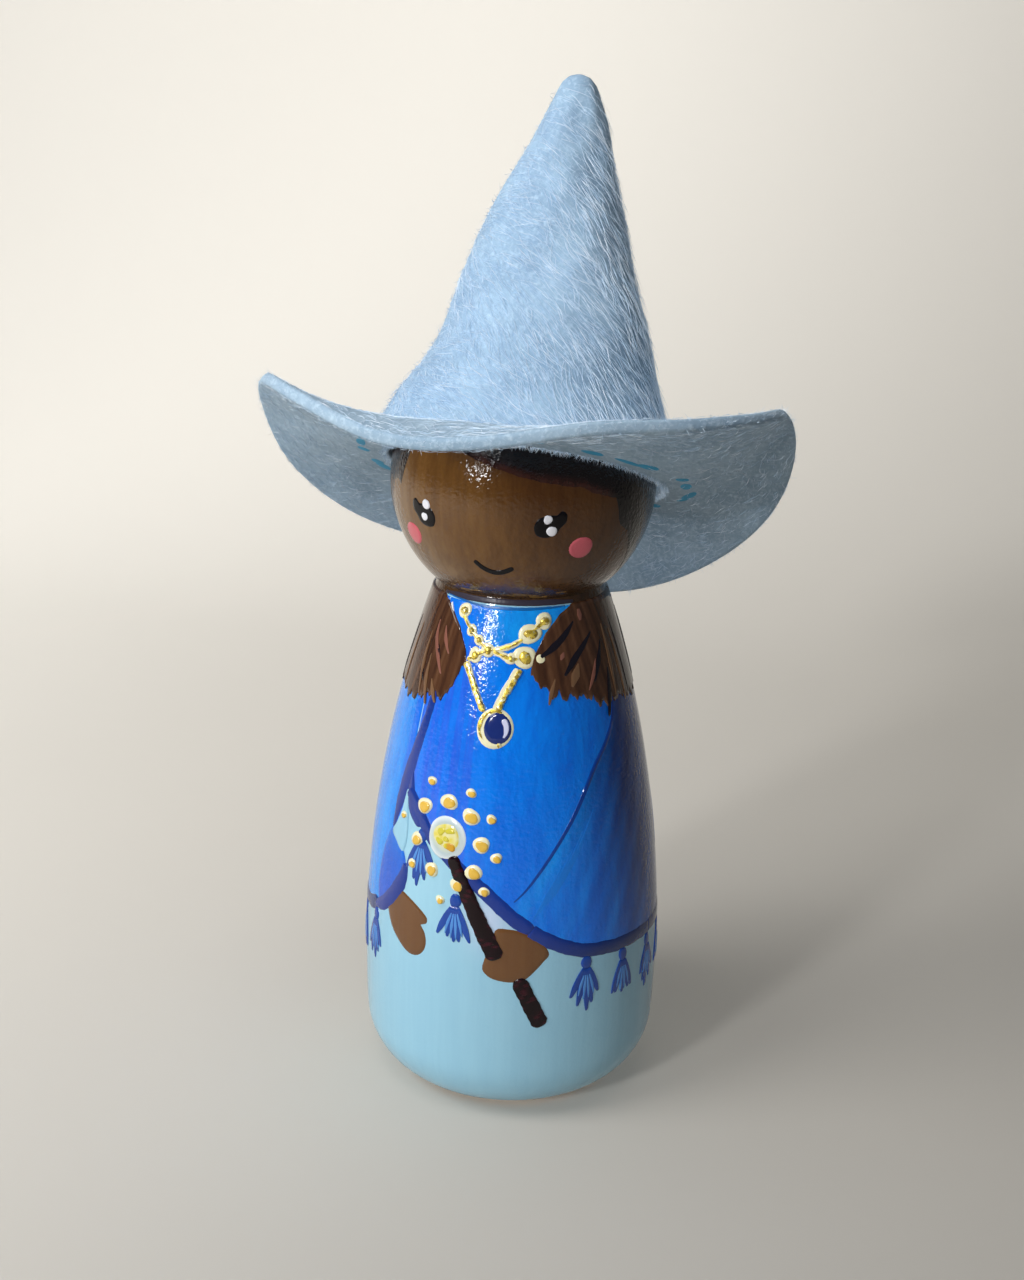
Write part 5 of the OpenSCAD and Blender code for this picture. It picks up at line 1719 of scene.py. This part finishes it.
@dataclass
class FeltHat:
    """A cone and a wavy brim of craft felt, glued together."""

    felt_t: float = 1.1
    height: float = 38.0
    tip_r: float = 2.0
    brim_w: float = 11.5
    brim_z: float = 1.0
    tilt: float = 22.0
    roll: float = 1.0
    seat_r: float = 12.84
    glue_t: float = 0.12
    lap_w: float = 4.0
    sink: float = 0.13
    curl: float = 1.6
    lobes: tuple[tuple[float, float, float], ...] = (
        (1, 0.30, -65), (2, 0.38, 3), (3, 0.10, -12), (4, 0.075, 23), (5, 0.016, 0), (6, 0.016, 0),
    )
    ends: Spot = (190, -8)
    end_rise: float = 0.09
    end_reach: float = 0.03
    left_humps: tuple[tuple[float, float, float], ...] = (
        (0.35, 24, 7), (-0.8, 11.5, 4.5), (0.35, 4, 2.5),
    )
    right_humps: tuple[tuple[float, float, float], ...] = ((0.25, 14, 4), (0.35, 35, 4))
    edge_round: float = 0.34
    probe: float = 0.004
    marks: int = 26
    chance: random.Random = field(default_factory=lambda: random.Random(SEED))

    def __post_init__(self) -> None:
        """Works out the sizes that follow from the others."""
        self.brim_top = self.brim_z + self.felt_t / 2
        self.foot_z = self.brim_top + self.glue_t
        self.tip_z = self.brim_top + self.height - self.tip_r
        self.slope = math.asin((self.seat_r + self.felt_t - self.tip_r) / self.tip_z)
        self.hole_r = self.wall_r(self.brim_top, 0)
        self.foot_r = self.wall_r(self.brim_z, self.felt_t)
        self.cone_r = self.wall_r(self.foot_z, self.felt_t)
        self.lap_turn = self.lap_w / self.cone_r / 2
        rise = self.tip_z + self.tip_r * math.sin(self.slope) - self.foot_z
        self.slant = rise / math.cos(self.slope)
        self.to_doll = (Matrix.Translation((0, 0, PEG.head_z * MM))
                        @ Matrix.Rotation(math.radians(-self.tilt), 4, "X")
                        @ Matrix.Rotation(math.radians(self.roll), 4, "Y"))

    def wall_r(self, z: float, off: float) -> float:
        """Radius of the cone's wall at a height, this far outside the seat."""
        return (self.seat_r + off - z * math.sin(self.slope)) / math.cos(self.slope)

    def to_world(self, points: Array) -> Array:
        """Turns points in the hat's own millimetres into the doll's metres."""
        turn = np.array(self.to_doll.to_3x3())
        return points * MM @ turn.T + np.array(self.to_doll.translation)

    @staticmethod
    def facing(turn: Array, degrees: float) -> Array:
        """How far places round the hat face this way, from 0 to 1."""
        return np.maximum(np.cos(turn - math.radians(degrees)), 0)

    def cone_at(self, turn: Array, along: Array, off: Array) -> Array:
        """Finds points on the outside of the cone.

        Args:
            turn: Angles round the hat in radians, from +X.
            along: Distances up the wall from its foot, going on over the tip.
            off: Distances off the wall.

        Returns:
            One row for each point, in the hat's own millimetres.
        """
        rise = np.clip((along - self.slant) / self.tip_r, 0, math.pi / 2 - self.slope)
        rise += self.slope
        up = np.minimum(along, self.slant)
        r = np.where(along > self.slant, (self.tip_r + off) * np.cos(rise),
                     self.cone_r - up * math.sin(self.slope) + off * math.cos(self.slope))
        z = np.where(along > self.slant, self.tip_z + (self.tip_r + off) * np.sin(rise),
                     self.foot_z + up * math.cos(self.slope) + off * math.sin(self.slope))
        r = np.maximum(r, 0)
        return np.stack([r * np.cos(turn), r * np.sin(turn), z], axis=1)

    def settle(self, turn: Array, along: Array, off: Array) -> Array:
        """Finds points on the cone's felt, whose foot spreads out and follows the brim.

        Args:
            turn: Angles round the hat in radians, from +X.
            along: Distances up the wall from its foot.
            off: Distances off the wall.

        Returns:
            One row for each point, in the hat's own millimetres.
        """
        points = self.cone_at(turn, along, off)
        share = (np.hypot(points[:, 0], points[:, 1]) - self.foot_r) / self.brim_w
        brim = self.brim_mid(turn, np.clip(share, 0, 1))[:, 2] - self.brim_z
        drop = brim - off * math.sin(self.slope) - 0.08
        points[:, 2] += drop * np.exp(-along / 0.8)
        return points

    def cone_puff(self, turn: Array, along: Array) -> Array:
        """Finds the unevenness of the cone: soft dents, a flared foot and the lap down its back.

        Args:
            turn: Angles round the hat in radians, from +X.
            along: Distances up the wall from its foot.

        Returns:
            Distances off the plain cone's wall.
        """
        dents = 0.10 * np.sin(3 * turn + 0.5) * np.sin(along * 0.22 + 0.8)
        dents += 0.07 * np.sin(5 * turn + along * 0.31)
        dents += 0.04 * np.sin(9 * turn - along * 0.5 + 1.0)
        lean = humps(along, self.left_humps) * self.facing(turn, 205)
        lean += humps(along, self.right_humps) * self.facing(turn, -10)
        flare = (0.5 + 0.45 * self.facing(turn, 190)) * np.exp(-along / 2.2)
        flare += 0.75 * np.exp(-along / 0.7)
        away = np.abs((turn - math.pi / 2 + math.pi) % (2 * math.pi) - math.pi)
        ridge = 0.62 * self.felt_t * (1 - step(away, self.lap_turn, self.lap_turn + 0.022))
        ridge = ridge * step(self.slant - along, 0.5, 2.5)
        return step(self.slant + 2.2 - along, 0, 6) * (dents + lean) + flare + ridge

    def brim_mid(self, turn: Array, share: Array) -> Array:
        """Finds points in the middle of the brim's felt.

        Args:
            turn: Angles round the hat in radians, from +X.
            share: How far out they lie: -1 is the hole, 0 the cone's foot and 1 the rim.

        Returns:
            One row for each point, in the hat's own millimetres.
        """
        out, inner = np.maximum(share, 0), np.minimum(share, 0)
        ends = sum(self.facing(turn, degrees) ** 4 for degrees in self.ends)
        waves = sum(h * np.cos(n * (turn - math.radians(c))) for n, h, c in self.lobes)
        rise = self.brim_w * (waves - self.sink + self.end_rise * ends)
        wide = self.brim_w * (1 + self.end_reach * ends)
        r = (self.foot_r + inner * (self.foot_r - self.hole_r)
             + out * np.sqrt(wide ** 2 - rise ** 2))
        z = self.brim_z + rise * out ** self.curl
        return np.stack([r * np.cos(turn), r * np.sin(turn), z], axis=1)

    def brim_face(self, turn: Array, share: Array, off: Array) -> Array:
        """Finds points above or below the middle of the brim, along its normal.

        Args:
            turn: Angles round the hat in radians, from +X.
            share: How far out they lie, as for brim_mid.
            off: How far above the middle they lie.

        Returns:
            One row for each point, in the hat's own millimetres.
        """
        d, out = self.probe, np.maximum(share, 0)
        along = self.brim_mid(turn + d, share) - self.brim_mid(turn - d, share)
        outward = self.brim_mid(turn, out + d) - self.brim_mid(turn, out - d)
        normal = np.cross(outward, along)
        normal /= np.linalg.norm(normal, axis=1)[:, None]
        normal = np.where((share <= 0)[:, None], [[0.0, 0.0, 1.0]], normal)
        return self.brim_mid(turn, share) + normal * np.asarray(off)[:, None]

    @staticmethod
    def brim_dents(turn: Array, share: Array) -> Array:
        """Soft dents in the brim, which fade out at the cone's foot."""
        dents = 0.06 * np.sin(7 * turn + 4 * share) + 0.05 * np.sin(13 * turn + 9 * share + 1)
        return dents * step(share, 0.05, 0.4)

    def build(self) -> None:
        """Makes the felt pieces, their fibres and the marks on the felt."""
        self._brim()
        self._cone()
        self._marks()
        self._strew("cone_wool", 9500, self._cone_fibre, (0.023, 0.050), (1.2, 4.6))
        self._strew("brim_wool", 6500, self._brim_fibre, (0.024, 0.048), (0.6, 2.2))
        self._strew("rim_fuzz", 3000, self._rim_fibre, (0.016, 0.032), (0.25, 0.85))
        self._strew("hole_fuzz", 3600, self._hole_fibre, (0.02, 0.04), (0.25, 0.65))
        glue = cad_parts["hat_glue"]
        glue.data.materials.clear()
        glue.data.materials.append(HotGlue().material())

    def _brim(self) -> None:
        """The wavy brim, one ring of felt."""
        columns, rows, inner = 180, 26, 3
        obj, i, j = grid(columns, rows)
        turn = i / columns * 2 * math.pi
        share = np.where(j < inner, -1 + j / inner, (j - inner) / (rows - inner))
        set_points(obj, self.to_world(self.brim_face(turn, share, self.brim_dents(turn, share))))
        merge_points(obj)
        up = self.to_doll.to_3x3() @ Vector((0, 0, 1))
        if sum(face.normal.dot(up) for face in obj.data.polygons) < 0:
            edit_all(obj, bpy.ops.mesh.flip_normals)
        modify(obj, "SOLIDIFY", thickness=self.felt_t * MM, offset=0.0, use_even_offset=True)
        modify(obj, "BEVEL", width=self.edge_round * MM, segments=3, limit_method="ANGLE",
               angle_limit=math.radians(50))
        # A greyer copy of the cone's felt: painted bounce light from the warm floor on the brim.
        felt = Felt("brim_felt_painted_bounce", (0.335, 0.465, 0.59), (0.45, 0.59, 0.71), (0.265, 0.385, 0.51))
        lay("felt_brim", [obj], felt, "felt", "hat_brim", body="hat", crease=Crease.FELT)

    def _cone(self) -> None:
        """The cone, rolled from a sector of felt and lapped down its back."""
        near = [math.pi / 2 + side * self.lap_turn + d for side in (-1, 1)
                for d in (-0.03, -0.012, 0.0, 0.012, 0.03)]
        turns = np.unique(np.concatenate([np.linspace(0, 2 * math.pi, 151), near]))
        rows = 74
        length = self.slant + self.tip_r * (math.pi / 2 - self.slope)
        obj, i, j = grid(len(turns) - 1, rows)
        turn = turns[i]
        along = length * (j / rows) ** 1.25
        set_points(obj, self.to_world(self.settle(turn, along, self.cone_puff(turn, along))))
        merge_points(obj, 0.004)
        centre = Vector(self.to_world(np.array([[0, 0, 12.0]]))[0])
        if sum(face.normal.dot(face.center - centre) for face in obj.data.polygons) < 0:
            edit_all(obj, bpy.ops.mesh.flip_normals)
        modify(obj, "SOLIDIFY", thickness=self.felt_t * MM, offset=-1.0)
        lay("felt_cone", [obj], Felt(), "felt", "hat_cone", body="hat", crease=Crease.FELT)

    def _marks(self) -> None:
        """Short strokes of blue pen on the underside, where the hole was marked out."""
        made = []
        for k in range(self.marks):
            turn = math.radians(TURN * k / self.marks + 4 * math.sin(k * 2.3))
            obj = added(bpy.ops.mesh.primitive_uv_sphere_add, segments=8, ring_count=10, radius=1)
            ball = points_of(obj)
            long, wide = 2.5 + 0.9 * math.sin(k * 1.7), 1.05 + 0.35 * math.sin(k * 2.9)
            share = 0.10 + 0.03 * math.sin(k * 1.3) + ball[:, 0] * wide / 2 / self.brim_w
            share += 0.02 * math.sin(k * 5.1) * ball[:, 2]
            at = turn + ball[:, 2] * long / 2 / (self.foot_r + 0.09 * self.brim_w)
            off = -self.felt_t / 2 - 0.035 * np.maximum(ball[:, 1], -0.6)
            set_points(obj, self.to_world(self.brim_face(at, share, off)))
            made.append(obj)
        piece = joined("pen_marks", made)
        merge_points(piece)
        paint_tone(piece)
        lay("pen_marks", [piece], Paint(
            "pen_blue", (0.05, 0.36, 0.60), streak=(0.5, 0.6, 0.7), gloss=0.7, ripple=0.05,
        ), "felt", body="hat")

    @staticmethod
    def _fibre() -> tuple[Array, Array]:
        """Models one fibre: a long thin three-sided needle, along Z from 0 to 1.

        Returns:
            Its points and its faces.
        """
        obj = added(bpy.ops.mesh.primitive_cylinder_add, vertices=3, radius=1, depth=1,
                    end_fill_type="NGON", location=(0, 0, 0.5))
        bpy.ops.object.transform_apply(location=True)
        for z in (0.33, 0.67):
            edit_all(obj, lambda z=z: bpy.ops.mesh.bisect(plane_co=(0, 0, z), plane_no=(0, 0, 1)))
        edit_all(obj, bpy.ops.mesh.quads_convert_to_tris)
        points = points_of(obj)
        faces = np.array([list(p.vertices) for p in obj.data.polygons])
        bpy.data.objects.remove(obj)
        return points, faces

    def _strew(self, name: str, count: int, grow: Callable[[Array, float], tuple[Array, Array]],
               width: Spot, length: Spot) -> None:
        """Copies the fibre many times over a surface, as one piece.

        Args:
            name: Name of the piece.
            count: Number of fibres.
            grow: Gives, for shares along a fibre and its length, the points there and the
                surface's normals, in the hat's own millimetres.
            width: Least and most width.
            length: Least and most length.
        """
        points, faces = self._fibre()
        stations = np.unique(points[:, 2].round(4))
        at = np.searchsorted(stations, points[:, 2].round(4))
        taper = 1 - 0.72 * np.abs(2 * points[:, 2] - 1) ** 3
        all_points, all_faces, tones = [], [], []
        for k in range(count):
            run = self.chance.uniform(*length)
            half = self.chance.uniform(*width) / 2 * taper
            path, normal = grow(stations, run)
            ahead = np.gradient(path, axis=0)
            ahead /= np.maximum(np.linalg.norm(ahead, axis=1), TINY)[:, None]
            side = np.cross(ahead, normal)
            side /= np.maximum(np.linalg.norm(side, axis=1), TINY)[:, None]
            up = np.cross(side, ahead)
            all_points.append(path[at] + side[at] * (points[:, 0] * half)[:, None]
                              + up[at] * (points[:, 1] * half * 0.8)[:, None])
            all_faces.append(faces + k * len(points))
            light = self.chance.random() ** 2.2
            tones.append(np.tile([light, self.chance.random(), 0.0], (len(points), 1)))
        mesh = bpy.data.meshes.new(name)
        mesh.from_pydata(self.to_world(np.vstack(all_points)).tolist(), [],
                         np.vstack(all_faces).tolist())
        mesh.update()
        obj = bpy.data.objects.new(name, mesh)
        bpy.context.scene.collection.objects.link(obj)
        edit_all(obj, lambda: bpy.ops.mesh.normals_make_consistent(inside=False))
        paint_tone(obj, np.vstack(tones))
        lay(name, [obj], Wool(), "felt", body="hat", crease=Crease.FIBRE)

    @staticmethod
    def _walk(angle: Array, run: float) -> tuple[Array, Array]:
        """How far across and up a fibre of this length gets, going at these angles."""
        return (np.cumsum(np.cos(angle)) * run / len(angle),
                np.cumsum(np.sin(angle)) * run / len(angle))

    def _cone_fibre(self, stations: Array, run: float) -> tuple[Array, Array]:
        """Grows a fibre that follows the way the cone's felt was brushed.

        Args:
            stations: Shares along the fibre.
            run: Its length.

        Returns:
            A point and a normal for each share.
        """
        chance = self.chance
        turn = chance.uniform(0, 2 * math.pi)
        along = (self.slant + 1.0) * (1 - math.sqrt(chance.random() * 0.985))
        front = math.degrees(math.atan2(math.cos(turn), -math.sin(turn)))
        left = max(-math.sin(math.radians(front)), 0) * math.exp(-along / 7)
        swirl = 9 * math.sin(3 * turn + along * 0.35) + 6 * math.sin(7 * turn - along * 0.8)
        lean = -43 - 19 * math.sin(math.radians(front + 15)) + 18 * left + swirl
        lean = math.radians(lean + chance.gauss(0, 13))
        across, up = self._walk(lean + chance.gauss(0.0, 0.10) * (stations - 0.5) * run, run)
        turns = turn + across / max(self.cone_r - along * math.sin(self.slope), 1.2)
        alongs = np.clip(along + up, 0.1, self.slant + 1.6)
        lift = 0.02 + chance.uniform(0, 0.10) * np.sin(math.pi * stations)
        lift = lift + chance.random() ** 5 * 0.6 * stations
        path = self.settle(turns, alongs, self.cone_puff(turns, alongs) + lift)
        return path, np.stack([np.cos(turns), np.sin(turns), 0.3 + 0 * turns], axis=1)

    def _brim_fibre(self, stations: Array, run: float) -> tuple[Array, Array]:
        """Grows a fibre on the upper or the lower face of the brim.

        Args:
            stations: Shares along the fibre.
            run: Its length.

        Returns:
            A point and a normal for each share.
        """
        chance = self.chance
        face = 1 if chance.random() < 0.5 else -1
        turn = chance.uniform(0, 2 * math.pi)
        share = math.sqrt(chance.uniform(0.004, 0.98))
        lean = chance.gauss(0.2, 0.55)
        across, out = self._walk(lean + chance.gauss(0, 0.35) * (stations - 0.5), run)
        turns = turn + across / (self.foot_r + share * self.brim_w)
        shares = np.clip(share + out / self.brim_w, 0.03, 0.985)
        lift = 0.02 + chance.uniform(0, 0.1) * np.sin(math.pi * stations)
        off = self.felt_t / 2 + lift
        path = self.brim_face(turns, shares, face * off + self.brim_dents(turns, shares))
        return path, self.brim_face(turns, shares, face * (off + 1.0)) - path

    def _brim_spot(self, turn: float, share: float, off: float) -> Array:
        """Finds one point above or below the middle of the brim."""
        return self.brim_face(np.array([turn]), np.array([share]), np.array([off]))[0]

    def _rim_fibre(self, stations: Array, run: float) -> tuple[Array, Array]:
        """Grows a short fibre that stands off the rim.

        Args:
            stations: Shares along the fibre.
            run: Its length.

        Returns:
            A point and a normal for each share.
        """
        chance = self.chance
        turn = chance.uniform(0, 2 * math.pi)
        off = chance.uniform(-0.45, 0.45) * self.felt_t
        edge = self._brim_spot(turn, 1.0, off)
        out = edge - self._brim_spot(turn, 0.96, off)
        out /= np.linalg.norm(out)
        above = self._brim_spot(turn, 1.0, off + 1.0) - edge
        way = out * chance.uniform(0.15, 0.8) + np.cross(out, above) * chance.gauss(0, 0.9)
        way = way + above * chance.gauss(0, 0.3)
        curl = above * chance.gauss(0, 0.25) + out * chance.gauss(-0.1, 0.2)
        path = self._arch(edge - out * 0.25, way, curl, stations, run)
        return path, np.tile(above, (len(stations), 1))

    def _hole_fibre(self, stations: Array, run: float) -> tuple[Array, Array]:
        """Grows a short fibre that hangs from the edge of the opening over the brow.

        Args:
            stations: Shares along the fibre.
            run: Its length.

        Returns:
            A point and a normal for each share.
        """
        chance = self.chance
        turn = chance.uniform(0, 2 * math.pi)
        edge = self._brim_spot(turn, -1 + abs(chance.gauss(0, 0.25)), -self.felt_t / 2 + 0.1)
        inward = -np.array([math.cos(turn), math.sin(turn), 0.0])
        down = np.array([0.0, 0.0, -1.0])
        side = np.array([-math.sin(turn), math.cos(turn), 0.0])
        way = inward * chance.uniform(-0.25, 0.12) + down * chance.uniform(0.3, 1.0)
        way = way + side * chance.gauss(0, 0.6)
        curl = side * chance.gauss(0, 0.25) - inward * chance.uniform(0, 0.2)
        path = self._arch(edge, way, curl, stations, run)
        return path, np.tile(inward, (len(stations), 1))

    @staticmethod
    def _arch(start: Array, way: Array, curl: Array, stations: Array, run: float) -> Array:
        """Finds points on a fibre that sets out one way and bends another.

        Args:
            start: Its root.
            way: Where it sets out to.
            curl: Where it bends, and how much.
            stations: Shares along it.
            run: Its length.

        Returns:
            One row for each share.
        """
        way = way / np.linalg.norm(way)
        return start + way * (stations * run)[:, None] + curl * (stations ** 2 * run)[:, None]


# The studio.


@dataclass(frozen=True)
class Lamp:
    """A round area lamp that looks at the doll's middle."""

    name: str
    azimuth: float
    elevation: float
    distance: float
    size: float
    power: float
    colour: Colour = WHITE
    shadow: bool = True
    aim_z: float = 50.0

    def hang(self) -> None:
        """Adds the lamp to the scene."""
        data = bpy.data.lights.new(self.name, "AREA")
        data.shape, data.size = "DISK", self.size
        data.energy, data.color, data.use_shadow = self.power, self.colour, self.shadow
        lamp = bpy.data.objects.new(self.name, data)
        bpy.context.scene.collection.objects.link(lamp)
        a, e = math.radians(self.azimuth), math.radians(self.elevation)
        way = Vector((math.sin(a) * math.cos(e), -math.cos(a) * math.cos(e), math.sin(e)))
        aim = Vector((0, 0, self.aim_z * MM))
        lamp.location = aim + way * self.distance
        lamp.rotation_euler = (aim - lamp.location).to_track_quat("-Z", "Y").to_euler()


@dataclass
class Studio:
    """Camera, lamps, and a pale floor that curves up behind the doll."""

    eye: tuple[float, float, float] = (35.89, -135.70, 88.64)
    aim: tuple[float, float, float] = (-0.676, -0.182, 44.95)
    roll: float = 1.47
    lens: float = 42.19
    lamps: tuple[Lamp, ...] = (
        Lamp("key", -54, 42, 0.42, 0.20, 0.67, (1.0, 0.985, 0.96)),
        Lamp("top", -20, 76, 0.5, 0.30, 0.55),
        Lamp("glint", -23.5, 18.0, 0.42, 0.055, 0.60),
        Lamp("brow_glint", -23.5, 33.0, 0.42, 0.05, 0.62, shadow=False),
    )
    room: Colour = (0.90, 0.94, 1.0)
    room_strength: float = 0.11
    floor_size: float = 1.6
    floor_y: float = -0.45
    wall_h: float = 1.2
    cove_r: float = 0.22

    def camera(self) -> None:
        """Sets the camera at the photograph's viewing angle."""
        data = bpy.data.cameras.new("camera")
        data.lens, data.sensor_width, data.sensor_fit = self.lens, 36.0, "AUTO"
        data.clip_start, data.clip_end = 0.005, 10.0
        camera = bpy.data.objects.new("camera", data)
        bpy.context.scene.collection.objects.link(camera)
        eye, aim = Vector(self.eye) * MM, Vector(self.aim) * MM
        ahead = (aim - eye).normalized()
        right = ahead.cross(Vector((0, 0, 1))).normalized()
        up = right.cross(ahead)
        a = math.radians(self.roll)
        across = right * math.cos(a) + up * math.sin(a)
        upward = across.cross(ahead)
        camera.matrix_world = Matrix((
            (across.x, upward.x, -ahead.x, eye.x), (across.y, upward.y, -ahead.y, eye.y),
            (across.z, upward.z, -ahead.z, eye.z), (0, 0, 0, 1)))
        bpy.context.scene.camera = camera

    def lights(self) -> None:
        """Hangs the lamps, of which two small ones make the varnish glint, in a pale room."""
        for lamp in self.lamps:
            lamp.hang()
        world = bpy.data.worlds.new("soft_room")
        bpy.context.scene.world = world
        world.use_nodes = True
        g = Graph(world.node_tree)
        room = g.put(g.add("Background"), Color=self.room, Strength=self.room_strength)
        g.put(g.add("OutputWorld"), Surface=room.outputs[0])

    def floor(self) -> None:
        """A pale floor, modelled as a strip whose back edge is drawn up and rounded."""
        back = self.floor_y + self.floor_size / 2 - 0.05
        obj = added(bpy.ops.mesh.primitive_plane_add, size=self.floor_size,
                    location=(0, self.floor_y, 0))
        bpy.ops.object.transform_apply(location=True)
        points = obj.data.vertices
        edit_edges(obj, lambda edge: all(points[v].co.y > back for v in edge.vertices),
                   lambda: bpy.ops.mesh.extrude_region_move(
                       TRANSFORM_OT_translate={"value": (0, 0.0, self.wall_h)}))
        modify(obj, "BEVEL", width=self.cove_r, segments=24, limit_method="ANGLE",
               angle_limit=math.radians(40))
        smooth(obj, Crease.FLOOR)
        obj.name = obj.data.name = "studio_floor"
        obj.data.materials.append(FloorPaper().material())


def main() -> None:
    """Builds the doll piece by piece, then the floor and the lamps."""
    studio = Studio()
    studio.camera()
    for maker in (GroundCoats(), Shawl(), Hair(), Face(), Jewels(), WandAndHands(), FeltHat()):
        LOG.info("building %s", type(maker).__name__)
        maker.build()
    studio.floor()
    studio.lights()
    bpy.context.scene.view_settings.view_transform = "Standard"


if __name__ == "__main__":
    main()
